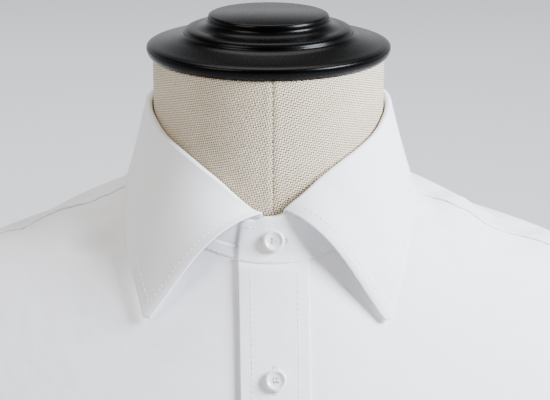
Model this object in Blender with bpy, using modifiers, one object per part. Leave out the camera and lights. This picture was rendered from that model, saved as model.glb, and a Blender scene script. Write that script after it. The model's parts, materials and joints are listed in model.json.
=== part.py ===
"""A white dress shirt with a spread collar on a limbless, linen covered dress form.

Metres, +Z up, the front towards -Y, the wearer's left towards +X.
The origin is under the middle of the round foot. Heights in the tables are
measured from the side of the neck, where the neck seam crosses the shoulder.
"""

import math

import bmesh
import bpy
import numpy as np
from mathutils import Matrix, Vector


def columns(names, rows):
    """A short table as one array for each named column."""
    return {name: np.array(column, float) for name, column in zip(names.split(), zip(*rows))}


# Driving dimensions
NECK_HEIGHT = 0.920        # side of the neck above the surface that the foot stands on
CLOTH = 0.0012             # wall of one panel, seam allowances included
LEAF_WALL = 0.0014         # two layers and their interlining
STAND_WALL = 0.0018
CUFF_WALL = 0.0016
GAP = 0.0004               # between pieces that are sewn or laid together
SEAM = 0.0006              # between the cut edges of two panels
LAP = CLOTH + GAP          # how far a panel that lies on another is moved out

PLACKET_HALF = 0.0175      # half width of the front strip
FRONT_LAP = 0.0150         # how far each front passes the centre, the left one on top, under the strip
LAP_RAMP = (0.018, 0.060)  # from the centre: where the left front lies on top, and where it joins in

STAND_HALF = (0.0630, 0.0652, 0.0642)    # top of the collar stand: half width, front, back
STAND_END = 0.017          # how far each end of the stand passes the centre
STAND_CORNER = (0.008, 0.006)            # rounded corner of each end: along the stand, and down
STAND_CLEAR = 0.0009       # the stand's lower edge above the neck seam
STAND_LAP = (0.16, 0.40)   # radians from the centre: up to where its end lies on top, and joins in
STAND_CLOSER = 0.4         # how much closer the stand's columns are near its ends
FOLD_ROLL = 0.0019         # outer radius of the roll at the collar's fold

BUTTON_RADIUS = 0.0055
BUTTON_THICK = 0.0024
BUTTON_HEIGHTS = (-0.078, -0.168, -0.258, -0.348, -0.438, -0.528, -0.618)

CUFF_TOP = -0.6215
CUFF_DEEP = 0.064
CUFF_LAP_TURN = 0.86       # where round the wrist the cuff is buttoned
CUFF_LAP = 0.085           # share of a turn that the cuff's ends lie on each other
SLIT_LONG = 0.120
SLIT_HALF = 0.012
SLIT_ABOVE = 0.002         # from the cuff's seam up to the slit's strip
WRIST_ROUND = 0.30         # length of one turn round the sleeve there
CAP_SHARE = 0.42           # share of the sleeve's rows that lies above the underarm
SLEEVE_ASIDE = 0.0012      # how far below the underarm the sleeve's seam lies out from the body's

NECK_RADII = (0.0605, 0.0611)   # linen neck: half width, half depth
NECK_TOP = 0.0660
FOOT_RADIUS = 0.165
FOOT_THICK = 0.022
POLE_RADIUS = 0.0125
TORSO_BOTTOM = -0.640


# The shirt's outer face, one row for each ring from the neck seam to the hem
BODY = columns("side front back half_width front_deep back_deep", (
    (0.0000, -0.0235, 0.0120, 0.0690, 0.0715, 0.0690),    # neck seam
    (-0.0105, -0.0420, 0.0005, 0.0840, 0.0790, 0.0810),
    (-0.0235, -0.0720, -0.0215, 0.1150, 0.0920, 0.0960),
    (-0.0385, -0.1080, -0.0420, 0.1550, 0.1060, 0.1080),
    (-0.0560, -0.1420, -0.0640, 0.1940, 0.1160, 0.1150),
    (-0.0710, -0.1750, -0.0850, 0.2230, 0.1210, 0.1180),  # shoulder point, yoke seam behind
    (-0.1450, -0.2200, -0.1560, 0.2100, 0.1260, 0.1220),
    (-0.2500, -0.2800, -0.2600, 0.1930, 0.1280, 0.1230),  # underarm
    (-0.3450, -0.3600, -0.3500, 0.1850, 0.1230, 0.1160),
    (-0.4500, -0.4600, -0.4550, 0.1790, 0.1180, 0.1110),  # waist
    (-0.5650, -0.5800, -0.5750, 0.1850, 0.1220, 0.1170),
    (-0.6700, -0.7500, -0.7600, 0.1900, 0.1260, 0.1220),  # hem, with its tails
))
SHOULDER, UNDERARM, HEM = 5.0, 7.0, 11.0
# Rings at which the panels have a row of corners
LOW_ROWS = (5.25, 5.5, 5.75, 6.0, 6.3, 6.6, 6.85, 7.0, 7.5, 8.0, 8.5, 9.0, 9.5, 10.0, 10.5, 11.0)
SHOULDER_ROWS = (0.5, 1.0, 1.75, 2.5, 3.25, 4.1)
FRONT_ROWS = (0.075, *SHOULDER_ROWS, 5.0, *LOW_ROWS)
PLACKET_ROWS = (0.095, *SHOULDER_ROWS, 5.0, *LOW_ROWS)
YOKE_ROWS = (0.015, *SHOULDER_ROWS, 4.98)
BACK_ROWS = (5.015, *LOW_ROWS)
FRONT_ACROSS = 12                # columns of a front; the first ones lie at set places
NEAR_CENTRE = 0.038
DROP_POWER = 1.4           # how a ring's height falls from its sides to its middle
EDGE_SLANT = 1.6           # a cut edge crosses the rings at a slant, so half a seam spans more of them
ARMHOLE_TOP = 30 / 360     # share of a turn, each way from the shoulder point, in the top of the armhole

# Outer edge of the fronts, degrees from the centre front: yoke seam, armhole, side seam
FRONT_EDGE = columns("ring left right", (
    (0.0, 80.0, 84.0), (1.0, 87.0, 92.0), (2.5, 86.0, 95.0), (4.0, 84.5, 91.0),
    (5.0, 79.0, 79.0), (5.5, 70.0, 70.0), (6.0, 65.0, 65.0), (6.45, 66.5, 66.5),
    (6.8, 76.0, 76.0), (7.0, 90.0, 90.0), (11.0, 90.0, 90.0),
))
# Outer edge of the back, from the shoulder point down
BACK_EDGE = columns("ring left", (
    (5.0, 106.0), (5.5, 112.5), (6.0, 116.0), (6.45, 114.0),
    (6.8, 104.0), (7.0, 90.0), (11.0, 90.0),
))

# Soft folds down the body: where, how wide, how proud, and the rings between which each grows
BODY_FOLDS = columns("degrees width proud starts full", (
    (22.0, 8.0, 0.0050, 5.6, 9.6),
    (45.0, 10.0, -0.0065, 6.2, 9.2),
    (66.0, 8.0, 0.0060, 7.2, 10.0),
    (84.0, 7.0, -0.0045, 7.6, 10.4),
    (104.0, 9.0, 0.0050, 7.4, 10.0),
    (127.0, 11.0, -0.0065, 6.6, 9.4),
    (152.0, 9.0, 0.0075, 5.7, 8.8),
    (176.0, 10.0, -0.0060, 6.0, 9.2),
    (203.0, 9.0, 0.0080, 5.8, 9.2),
    (231.0, 11.0, -0.0060, 6.4, 9.6),
    (257.0, 9.0, 0.0050, 7.4, 10.0),
    (278.0, 7.0, -0.0040, 7.8, 10.6),
    (296.0, 8.0, 0.0060, 7.0, 9.8),
    (319.0, 10.0, -0.0060, 6.1, 9.0),
    (339.0, 8.0, 0.0055, 5.6, 9.2),
))

# Height of the collar's fold round the neck, degrees from the centre front to each side
FOLD_LINE = columns("degrees left right", (
    (0.0, -0.0006, -0.0006), (4.0, 0.0012, -0.0005), (8.0, 0.0050, 0.0004), (13.0, 0.0090, 0.0042),
    (18.0, 0.0129, 0.0085), (24.0, 0.0174, 0.0138), (34.0, 0.0231, 0.0206), (46.0, 0.0281, 0.0271),
    (58.0, 0.0324, 0.0318), (72.0, 0.0380, 0.0376), (90.0, 0.0422, 0.0420),
    (120.0, 0.0442, 0.0442), (150.0, 0.0458, 0.0458), (180.0, 0.0464, 0.0464),
))

# How far the fold stands above the stand's upper edge, degrees from the centre front
FOLD_RISE = columns("degrees rise", (
    (0.0, 0.0027), (4.0, 0.0030), (10.0, 0.0068), (20.0, 0.0078),
    (34.0, 0.0068), (60.0, 0.0050), (180.0, 0.0048),
))

# The leaf at stations along its fold. The edge lies over the body at an angle and a ring,
# lifted from it. Out and down shape the fall: how it leaves the roll and how it lands.
LEAF_NAMES = "fold edge ring lift roll_end leave_out leave_down land_out land_down"
LEAF_LEFT = columns(LEAF_NAMES, (       # wearer's left
    (4.4, 31.0, 1.76, 0.0040, 80.0, 0.0196, 0.0050, 0.0140, 0.0251),
    (6.4, 32.6, 1.79, 0.0040, 74.0, 0.0188, 0.0062, 0.0134, 0.0247),
    (10.0, 35.4, 1.66, 0.0042, 64.0, 0.0168, 0.0082, 0.0122, 0.0238),
    (20.0, 41.0, 1.47, 0.0044, 44.0, 0.0118, 0.0120, 0.0092, 0.0210),
    (34.0, 49.5, 1.20, 0.0044, 32.0, 0.0070, 0.0120, 0.0064, 0.0180),
    (50.0, 60.5, 0.88, 0.0042, 27.0, 0.0042, 0.0115, 0.0044, 0.0150),
    (70.0, 75.5, 0.55, 0.0038, 22.0, 0.0030, 0.0120, 0.0040, 0.0130),
    (90.0, 91.0, 0.40, 0.0036, 20.0, 0.0027, 0.0120, 0.0038, 0.0125),
    (120.0, 120.0, 0.42, 0.0036, 20.0, 0.0027, 0.0120, 0.0036, 0.0125),
    (150.0, 150.0, 0.50, 0.0036, 20.0, 0.0027, 0.0120, 0.0034, 0.0125),
    (180.0, 180.0, 0.55, 0.0036, 20.0, 0.0027, 0.0120, 0.0034, 0.0125),
))
LEAF_RIGHT = columns(LEAF_NAMES, (      # wearer's right
    (5.0, 34.9, 1.79, 0.0040, 84.0, 0.0200, 0.0002, 0.0153, 0.0262),
    (7.2, 36.5, 1.81, 0.0040, 77.0, 0.0192, 0.0022, 0.0146, 0.0256),
    (12.0, 39.4, 1.70, 0.0042, 64.0, 0.0168, 0.0062, 0.0128, 0.0243),
    (22.0, 44.6, 1.50, 0.0044, 44.0, 0.0118, 0.0112, 0.0094, 0.0210),
    (36.0, 53.0, 1.24, 0.0044, 32.0, 0.0070, 0.0118, 0.0064, 0.0180),
    (52.0, 63.5, 0.92, 0.0042, 27.0, 0.0042, 0.0115, 0.0044, 0.0150),
    (71.0, 77.5, 0.55, 0.0038, 22.0, 0.0030, 0.0120, 0.0040, 0.0130),
    (90.0, 91.0, 0.36, 0.0036, 20.0, 0.0027, 0.0120, 0.0038, 0.0125),
    (120.0, 120.0, 0.42, 0.0036, 20.0, 0.0027, 0.0120, 0.0036, 0.0125),
    (150.0, 150.0, 0.50, 0.0036, 20.0, 0.0027, 0.0120, 0.0034, 0.0125),
    (180.0, 180.0, 0.55, 0.0036, 20.0, 0.0027, 0.0120, 0.0034, 0.0125),
))
LEAF_SWEEP = 0.75          # how early the leaf's paths swing out from fold to edge
LEAF_CLOSER = 1.5          # how much closer the leaf's columns are near its front edges
RISE_SHARE = 0.05          # share of the leaf's rows inside the stand, and up to the end of the roll
ROLL_SHARE = 0.17

# The empty sleeve below the underarm, flattened ovals that hang beside the body
SLEEVE = columns("height centre_x centre_y half_thick half_wide", (
    (-0.285, 0.2300, -0.001, 0.0340, 0.0760),
    (-0.360, 0.2290, -0.003, 0.0315, 0.0725),
    (-0.440, 0.2265, -0.009, 0.0295, 0.0680),
    (-0.520, 0.2260, -0.016, 0.0280, 0.0630),
    (-0.590, 0.2270, -0.022, 0.0270, 0.0590),
    (-0.6210, 0.2275, -0.0245, 0.0245, 0.0540),           # sewn to the cuff
))
# Direction in which the sleeve leaves the armhole, by turn from the shoulder point over the front
ARMHOLE_LEAVES = columns("turn x y z", (
    (0.0, 0.86, 0.00, -0.50),
    (0.25, 0.80, -0.36, -0.48),
    (0.5, 0.22, 0.00, -0.97),
    (0.75, 0.80, 0.34, -0.50),
    (1.0, 0.86, 0.00, -0.50),
))
# Soft folds of the sleeve: turn, how wide, height of the middle, how long, how proud, how far it slants
SLEEVE_FOLDS = columns("turn width height long proud slant", (
    (0.15, 0.060, -0.405, 0.055, -0.0080, 0.70),
    (0.33, 0.055, -0.455, 0.070, -0.0070, -0.60),
    (0.68, 0.060, -0.425, 0.065, -0.0080, 0.60),
    (0.90, 0.065, -0.375, 0.070, -0.0075, -0.50),
    (0.05, 0.055, -0.500, 0.080, 0.0050, 0.30),
    (0.24, 0.050, -0.240, 0.060, -0.0060, 0.50),
    (0.77, 0.050, -0.230, 0.060, -0.0060, -0.50),
))

# How far the form stays inside the shirt's outer face, ring by ring
FORM_INSET = columns("ring inset", (
    (0.0, 0.0050), (0.5, 0.0026), (1.0, 0.0024), (1.75, 0.0028), (2.5, 0.0030),
    (3.25, 0.0032), (4.1, 0.0048), (4.8, 0.0125), (5.4, 0.0105), (6.0, 0.0100),
    (7.0, 0.0140), (8.0, 0.0170), (9.0, 0.0180), (10.0, 0.0190),
))
NECK_ROOT = (0.0007, 0.0085)    # where the straight neck starts: proud of it, and above the neck seam
NECK_ROWS = (0.0657, 0.045, 0.028)    # heights of the linen neck's rings, the top one under the cap

# Turned profiles, radius and height, top to bottom down the outer side
CAP_PROFILE = (
    (0.0000, 0.0218), (0.0300, 0.0218), (0.0311, 0.0213), (0.0316, 0.0202), (0.0319, 0.0182),
    (0.0337, 0.0164), (0.0368, 0.0153), (0.0404, 0.0149), (0.0427, 0.0143), (0.0440, 0.0131),
    (0.0446, 0.0116), (0.0466, 0.0104), (0.0510, 0.0091), (0.0568, 0.0077), (0.0615, 0.0067),
    (0.0634, 0.0058), (0.0638, 0.0044), (0.0632, 0.0018), (0.0616, 0.0000), (0.0000, 0.0000),
)
FOOT_PROFILE = (
    (0.0, FOOT_THICK), (0.018, FOOT_THICK), (0.021, 0.0195), (0.030, 0.0165), (0.090, 0.0125),
    (0.150, 0.0105), (0.161, 0.0085), (FOOT_RADIUS, 0.0045), (FOOT_RADIUS - 0.001, 0.0), (0.0, 0.0),
)
BUTTON_PROFILE = (
    (0.0, 0.0014), (0.0032, 0.0014), (0.0042, BUTTON_THICK), (0.0050, 0.0022),
    (BUTTON_RADIUS, 0.0013), (0.0048, 0.0), (0.0, 0.0),
)


def through(knots, values, at):
    """A smooth curve through a table's values."""
    at = np.clip(np.asarray(at, float), knots[0], knots[-1])
    steps = np.diff(knots)
    slopes = np.diff(values) / steps
    inner = (slopes[:-1] * steps[1:] + slopes[1:] * steps[:-1]) / (steps[1:] + steps[:-1])
    bends = np.concatenate([slopes[:1], inner, slopes[-1:]])
    index = np.clip(np.searchsorted(knots, at, side="right") - 1, 0, len(knots) - 2)
    wide = steps[index]
    t = (at - knots[index]) / wide
    low, high = values[index], values[index + 1]
    return (
        (2 * t**3 - 3 * t**2 + 1) * low
        + (t**3 - 2 * t**2 + t) * wide * bends[index]
        + (3 * t**2 - 2 * t**3) * high
        + (t**3 - t**2) * wide * bends[index + 1]
    )


def smooth(low, high, at):
    """From 0 at low to 1 at high, level at both ends."""
    t = np.clip((np.asarray(at, float) - low) / (high - low), 0.0, 1.0)
    return t * t * (3 - 2 * t)


def unit(vectors):
    return vectors / np.linalg.norm(vectors, axis=-1, keepdims=True)


def bare_body(angle, ring):
    """The body's face without its folds. Angle runs from the centre front towards +X."""
    rows = np.arange(len(BODY["side"]), dtype=float)
    side, front, back, half, front_deep, back_deep = (
        through(rows, BODY[name], ring) for name in BODY
    )
    turn = np.cos(angle)
    deep = np.where(turn > 0, front_deep, back_deep)
    middle = np.where(turn > 0, front, back)
    height = side + (middle - side) * np.abs(turn) ** DROP_POWER
    return np.stack(np.broadcast_arrays(half * np.sin(angle), -deep * turn, height), -1)


def body_normal(angle, ring):
    small = 0.01
    ring = np.clip(ring, small, HEM - small)
    along = bare_body(angle + small, ring) - bare_body(angle - small, ring)
    down = bare_body(angle, ring + small) - bare_body(angle, ring - small)
    return unit(np.cross(down, along))


def fold_height(angle, ring):
    """How proud the soft folds stand at each point."""
    degrees = np.degrees(angle) % 360
    total = np.zeros(np.broadcast(degrees, ring).shape)
    for where, width, proud, starts, full in zip(*BODY_FOLDS.values()):
        away = (degrees - where + 180) % 360 - 180
        total = total + proud * np.exp(-((away / width) ** 2)) * smooth(starts, full, ring)
    return total


def body(angle, ring, out=0.0):
    """The shirt's outer face, moved out along its normal."""
    proud = fold_height(angle, ring) + out
    return bare_body(angle, ring) + proud[..., None] * body_normal(angle, ring)


def angle_at(x, ring):
    """The angle at which a ring passes a place across the front."""
    rows = np.arange(len(BODY["side"]), dtype=float)
    return np.arcsin(x / through(rows, BODY["half_width"], ring))


def edge_angle(edge, ring, side="left"):
    """The cut edge of a front or the back; below the underarm it is the side seam."""
    degrees = through(edge["ring"], edge[side], ring)
    return np.radians(np.where(ring >= UNDERARM, 90.0, degrees))


def seam_angle(ring):
    """The angle that half a seam's width takes up."""
    rows = np.arange(len(BODY["side"]), dtype=float)
    return EDGE_SLANT * SEAM / 2 / through(rows, BODY["half_width"], ring)


def row_of(rows, v):
    """The ring at a share of a panel's rows, so that neighbours bend at the same rings."""
    return np.interp(v * (len(rows) - 1), np.arange(len(rows)), rows)


def front_panel(side):
    """One front: u from the centre to its outer edge, v from the neck to the hem."""
    near = (-FRONT_LAP, 0.0, FRONT_LAP, NEAR_CENTRE)

    def place(u, v):
        ring = row_of(FRONT_ROWS, v)
        outer = edge_angle(FRONT_EDGE, ring, "left" if side > 0 else "right") - seam_angle(ring)
        column = u * FRONT_ACROSS
        last = len(near) - 1
        x = np.interp(np.minimum(column, last), np.arange(len(near)), near)
        angle = angle_at(x, ring)
        angle = angle + (outer - angle) * np.maximum(column - last, 0) / (FRONT_ACROSS - last)
        half = bare_body(angle, ring)[..., 0]
        lap = LAP * (1 - smooth(*LAP_RAMP, half)) if side > 0 else np.zeros_like(u)
        return body(side * angle, ring, lap)

    return place


def placket_place(u, v):
    ring = row_of(PLACKET_ROWS, v)
    x = PLACKET_HALF * (2 * u - 1)
    return body(angle_at(x, ring), ring, np.full_like(u, 2 * LAP))


def back_place(u, v):
    ring = row_of(BACK_ROWS, v)
    start = edge_angle(BACK_EDGE, ring) + seam_angle(ring)
    return body(start + (2 * math.pi - 2 * start) * u, ring)


def yoke_place(u, v):
    ring = row_of(YOKE_ROWS, v)
    start = edge_angle(FRONT_EDGE, ring) + seam_angle(ring)
    end = 2 * math.pi - edge_angle(FRONT_EDGE, ring, "right") - seam_angle(ring)
    return body(start + (end - start) * u, ring)


def armhole(turn):
    """The armhole's edge on the wearer's left, from the shoulder point over the front."""
    turn = np.asarray(turn, float) % 1.0
    near = np.where(turn < 0.5, turn, 1 - turn)
    down = np.clip((near - ARMHOLE_TOP) / (0.5 - ARMHOLE_TOP), 0, 1)
    ring = SHOULDER + (UNDERARM - SHOULDER) * down
    front = edge_angle(FRONT_EDGE, ring)
    back = edge_angle(BACK_EDGE, ring)
    ends = np.where(turn < 0.5, edge_angle(FRONT_EDGE, SHOULDER), edge_angle(BACK_EDGE, SHOULDER))
    middle = math.pi / 2
    over = middle + (ends - middle) * near / ARMHOLE_TOP
    angle = np.where(near < ARMHOLE_TOP, over, np.where(turn < 0.5, front, back))
    return body(angle, ring)


def sleeve_oval(turn, height):
    centre_x, centre_y, thick, wide = (
        through(-SLEEVE["height"], SLEEVE[name], -height)
        for name in ("centre_x", "centre_y", "half_thick", "half_wide")
    )
    round_angle = 2 * math.pi * turn
    return np.stack(
        np.broadcast_arrays(
            centre_x + thick * np.cos(round_angle), centre_y - wide * np.sin(round_angle), height
        ),
        -1,
    )


def bare_sleeve(turn, v):
    """The left sleeve without folds: v from the armhole to the cuff."""
    first = SLEEVE["height"][0]
    last = SLEEVE["height"][-1]
    cap = np.clip(v / CAP_SHARE, 0, 1)
    start = armhole(turn)
    near = np.minimum(turn % 1.0, 1 - turn % 1.0)
    aside = SEAM + SLEEVE_ASIDE * smooth(0.25, 0.5, near)
    start = start + aside[..., None] * np.array([1.0, 0.0, 0.0])
    end = sleeve_oval(turn, np.full_like(turn, first))
    knots = ARMHOLE_LEAVES["turn"]
    ways = [through(knots, ARMHOLE_LEAVES[axis], turn % 1.0) for axis in "xyz"]
    leaves = unit(np.stack(ways, -1))
    long = np.linalg.norm(end - start, axis=-1, keepdims=True)
    falls = np.array([0.0, 0.0, -1.0])
    t = cap[..., None]
    upper = (
        (2 * t**3 - 3 * t**2 + 1) * start
        + (t**3 - 2 * t**2 + t) * leaves * long
        + (3 * t**2 - 2 * t**3) * end
        + (t**3 - t**2) * falls * long
    )
    down = np.clip((v - CAP_SHARE) / (1 - CAP_SHARE), 0, 1)
    lower = sleeve_oval(turn, first + (last - first) * down)
    return np.where(t < 1, upper, lower)


def sleeve(turn, v, out=0.0):
    """The left sleeve's outer face with its folds."""
    small = 0.004
    near = np.clip(v, small, 1 - small)
    around = bare_sleeve(turn + small, near) - bare_sleeve(turn - small, near)
    down = bare_sleeve(turn, near + small) - bare_sleeve(turn, near - small)
    normal = unit(np.cross(around, down))
    point = bare_sleeve(turn, v)
    proud = np.zeros(turn.shape) + out
    for where, width, height, long, deep, slant in zip(*SLEEVE_FOLDS.values()):
        rise = (point[..., 2] - height) / long
        away = (turn - where - slant * width * rise + 0.5) % 1.0 - 0.5
        proud = proud + deep * np.exp(-((away / width) ** 2) - rise**2)
    return point + proud[..., None] * normal


def sleeve_place(side):
    def place(u, v):
        point = sleeve(u, v)
        return point * np.array([side, 1.0, 1.0])

    return place


def cuff_face(turn, height, out):
    """The cuff round the wrist, a little trimmer than the sleeve's end."""
    centre = np.array([SLEEVE["centre_x"][-1], SLEEVE["centre_y"][-1]])
    thick = SLEEVE["half_thick"][-1] + out
    wide = SLEEVE["half_wide"][-1] + out
    round_angle = 2 * math.pi * turn
    return np.stack(
        np.broadcast_arrays(
            centre[0] + thick * np.cos(round_angle), centre[1] - wide * np.sin(round_angle), height
        ),
        -1,
    )


def cuff_place(side):
    def place(u, v):
        turn = CUFF_LAP_TURN - CUFF_LAP / 2 + (1 + CUFF_LAP) * u
        over = (CUFF_WALL + GAP) * smooth(1 - 1.2 * CUFF_LAP, 1 - 0.2 * CUFF_LAP, (1 + CUFF_LAP) * u)
        height = CUFF_TOP - GAP - CUFF_DEEP * v
        return cuff_face(turn, height, over) * np.array([side, 1.0, 1.0])

    return place


def slit_place(side):
    """The strip over the slit above the cuff, on the sleeve's own points."""
    first = SLEEVE["height"][0]
    last = SLEEVE["height"][-1]

    def place(u, v):
        height = last + SLIT_ABOVE + SLIT_LONG * (1 - v)
        down = CAP_SHARE + (1 - CAP_SHARE) * (height - first) / (last - first)
        turn = CUFF_LAP_TURN + (2 * u - 1) * SLIT_HALF / WRIST_ROUND
        return sleeve(turn, down, LAP + GAP) * np.array([side, 1.0, 1.0])

    return place


def ellipse(halves, angle):
    half, front, back = halves
    turn = np.cos(angle)
    return half * np.sin(angle), -np.where(turn > 0, front, back) * turn


def fold_at(angle):
    """Height of the fold's crest, and how far it stands above the stand."""
    degrees = (np.degrees(angle) + 180) % 360 - 180
    left = through(FOLD_LINE["degrees"], FOLD_LINE["left"], np.abs(degrees))
    right = through(FOLD_LINE["degrees"], FOLD_LINE["right"], np.abs(degrees))
    rise = through(FOLD_RISE["degrees"], FOLD_RISE["rise"], np.abs(degrees))
    return np.where(degrees > 0, left, right), rise


def stand_lap(angle):
    """How far the stand's left end is moved out, to lie on its right end."""
    return (STAND_WALL + GAP) * (1 - smooth(*STAND_LAP, angle))


def stand_place(u, v):
    """The stand from its left end, which lies on top, round the back, to its right end: v goes up."""
    reach = STAND_END / STAND_HALF[1]
    u = u - STAND_CLOSER * np.sin(2 * math.pi * u) / (2 * math.pi)
    angle = (2 * math.pi + 2 * reach) * u - reach
    over = stand_lap(angle)
    foot = bare_body(angle, np.zeros_like(angle))
    end = np.minimum(u, 1 - u) * (2 * math.pi + 2 * reach) * STAND_HALF[1]
    low = STAND_CLEAR + foot[..., 2]
    crest, rise = fold_at(angle)
    high = crest - rise
    along_corner = np.clip(end / STAND_CORNER[0], 0, 1)
    short = STAND_CORNER[1] * (1 - np.sqrt(np.clip(1 - (1 - along_corner) ** 2, 0, 1)))
    x, y = ellipse(STAND_HALF, angle)
    foot_x, foot_y = foot[..., 0], foot[..., 1]
    flat = np.stack([foot_x + (x - foot_x) * v, foot_y + (y - foot_y) * v], -1)
    away = unit(flat)
    flat = flat + over[..., None] * away
    height = low + (high - short - low) * v
    return np.stack([flat[..., 0], flat[..., 1], height], -1)


def curve(t, start, leave, land, end):
    """A curve from start to end, drawn towards the two points between."""
    back = 1 - t
    return back**3 * start + 3 * t * back**2 * leave + 3 * t**2 * back * land + t**3 * end


def leaf_side(side, station, v):
    """One half of the leaf. Station 0 is the front edge and 1 the centre back; v runs from
    the stand over the fold to the outer edge."""
    table = LEAF_LEFT if side > 0 else LEAF_RIGHT
    first = table["fold"][0]
    fold = first + (180.0 - first) * station**LEAF_CLOSER
    edge, ring, lift, roll_end, leave_out, leave_down, land_out, land_down = (
        through(table["fold"], table[name], fold)
        for name in LEAF_NAMES.split()[1:]
    )
    fold_angle = np.radians(fold)
    land_angle = np.radians(edge)
    landing = body(side * land_angle, ring, lift)
    land_turn = np.arctan2(np.abs(landing[..., 0]), -landing[..., 1])
    land_radius = np.hypot(landing[..., 0], landing[..., 1])
    x, y = ellipse(STAND_HALF, fold_angle)
    fold_turn = np.arctan2(x, -y)
    inner = np.hypot(x, y) - STAND_WALL + (stand_lap(fold_angle) if side > 0 else 0.0)
    top, above = fold_at(side * fold_angle)
    centre = inner + FOLD_ROLL
    rise = np.clip(v / RISE_SHARE, 0, 1)
    roll = np.clip((v - RISE_SHARE) / (ROLL_SHARE - RISE_SHARE), 0, 1)
    fall = np.clip((v - ROLL_SHARE) / (1 - ROLL_SHARE), 0, 1)
    tilt = np.radians(180 + (roll_end - 180) * roll)
    roll_radius = centre + FOLD_ROLL * np.cos(tilt)
    roll_height = top - FOLD_ROLL + FOLD_ROLL * np.sin(tilt)
    foot = top - above + SEAM
    end_tilt = np.radians(roll_end)
    from_radius = centre + FOLD_ROLL * np.cos(end_tilt)
    from_height = top - FOLD_ROLL + FOLD_ROLL * np.sin(end_tilt)
    near_radius = from_radius + leave_out
    near_height = from_height - leave_down
    far_radius = land_radius - land_out
    far_height = landing[..., 2] + land_down
    fall_radius = curve(fall, from_radius, near_radius, far_radius, land_radius)
    fall_height = curve(fall, from_height, near_height, far_height, landing[..., 2])
    parts = [v < RISE_SHARE, v < ROLL_SHARE]
    radius = np.select(parts, [inner, roll_radius], fall_radius)
    height = np.select(parts, [foot + (top - FOLD_ROLL - foot) * rise, roll_height], fall_height)
    swing = fall**LEAF_SWEEP
    turn = fold_turn + (land_turn - fold_turn) * swing
    return np.stack([side * radius * np.sin(turn), -radius * np.cos(turn), height], -1)


def leaf_place(u, v):
    """The whole leaf from the left point, round the back, to the right point."""
    left = leaf_side(1, np.clip(2 * u, 0, 1), v)
    right = leaf_side(-1, np.clip(2 - 2 * u, 0, 1), v)
    return np.where((u < 0.5)[..., None], left, right)


def lift_to_place(points):
    return points + np.array([0.0, 0.0, NECK_HEIGHT])


def material(name, colour, roughness):
    made = bpy.data.materials.new(name)
    made.use_nodes = True
    shader = made.node_tree.nodes["Principled BSDF"]
    shader.inputs["Base Color"].default_value = (*colour, 1.0)
    shader.inputs["Roughness"].default_value = roughness
    return made


def add_object(name, mesh, finish):
    made = bpy.data.objects.new(name, mesh)
    made.data.materials.append(finish)
    PARTS.objects.link(made)
    return made


def cloth(name, across, down, place, wall, finish, wrap=False, flip=False):
    """A grid laid on a surface given by a function, with the wall behind it."""
    bm = bmesh.new()
    bmesh.ops.create_grid(bm, x_segments=across, y_segments=down, size=0.5)
    bm.verts.ensure_lookup_table()
    flat = np.array([vert.co[:2] for vert in bm.verts]) + 0.5
    points = lift_to_place(place(flat[:, 0], flat[:, 1]))
    for vert, point in zip(bm.verts, points):
        vert.co = point
    if wrap:
        bmesh.ops.remove_doubles(bm, verts=bm.verts, dist=1e-5)
    if flip:
        bmesh.ops.reverse_faces(bm, faces=bm.faces)
    mesh = bpy.data.meshes.new(name)
    bm.to_mesh(mesh)
    bm.free()
    mesh.shade_smooth()
    made = add_object(name, mesh, finish)
    shell = made.modifiers.new("wall", "SOLIDIFY")
    shell.thickness = wall
    shell.offset = -1.0
    return made


def loft(name, rings, finish):
    """A closed solid through rings of points, capped flat at both ends."""
    bm = bmesh.new()
    loops = [[bm.verts.new(point) for point in ring] for ring in rings]
    count = len(loops[0])
    for upper, lower in zip(loops, loops[1:]):
        for k in range(count):
            nxt = (k + 1) % count
            bm.faces.new((upper[k], lower[k], lower[nxt], upper[nxt]))
    bm.faces.new(loops[0])
    bm.faces.new(loops[-1][::-1])
    mesh = bpy.data.meshes.new(name)
    bm.to_mesh(mesh)
    bm.free()
    mesh.shade_smooth()
    mesh.set_sharp_from_angle(angle=math.radians(50))
    return add_object(name, mesh, finish)


def turned(name, profile, steps, finish, place):
    """A profile turned round its own Z axis."""
    mesh = bpy.data.meshes.new(name)
    points = [(radius, 0.0, height) for radius, height in profile]
    mesh.from_pydata(points, [(k, k + 1) for k in range(len(points) - 1)], [])
    made = add_object(name, mesh, finish)
    screw = made.modifiers.new("turn", "SCREW")
    screw.steps = steps
    screw.render_steps = steps
    screw.use_merge_vertices = True
    screw.merge_threshold = 0.0001
    screw.use_smooth_shade = True
    made.matrix_world = place
    return made


def facing(point, normal):
    """The place of a small piece that sits on a face, its own Z along the normal."""
    turn = Vector(normal).to_track_quat("Z", "Y").to_matrix().to_4x4()
    return Matrix.Translation(Vector(point)) @ turn


def make_shirt():
    cotton = material("white cotton poplin", (0.80, 0.81, 0.83), 0.75)
    cloth("collar_leaf", 44, 13, leaf_place, LEAF_WALL, cotton, flip=True)
    cloth("collar_stand", 48, 3, stand_place, STAND_WALL, cotton)
    cloth("yoke", 30, len(YOKE_ROWS) - 1, yoke_place, CLOTH, cotton, flip=True)
    cloth("back", 18, len(BACK_ROWS) - 1, back_place, CLOTH, cotton, flip=True)
    cloth("front_left", FRONT_ACROSS, len(FRONT_ROWS) - 1, front_panel(1), CLOTH, cotton, flip=True)
    cloth("front_right", FRONT_ACROSS, len(FRONT_ROWS) - 1, front_panel(-1), CLOTH, cotton)
    cloth("placket", 4, len(PLACKET_ROWS) - 1, placket_place, CLOTH, cotton, flip=True)
    for name, side in (("left", 1), ("right", -1)):
        cloth(f"sleeve_{name}", 22, 14, sleeve_place(side), CLOTH, cotton, wrap=True, flip=side < 0)
        cloth(f"sleeve_placket_{name}", 2, 5, slit_place(side), CLOTH, cotton, flip=side < 0)
        cloth(f"cuff_{name}", 26, 3, cuff_place(side), CUFF_WALL, cotton, flip=side < 0)


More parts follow.
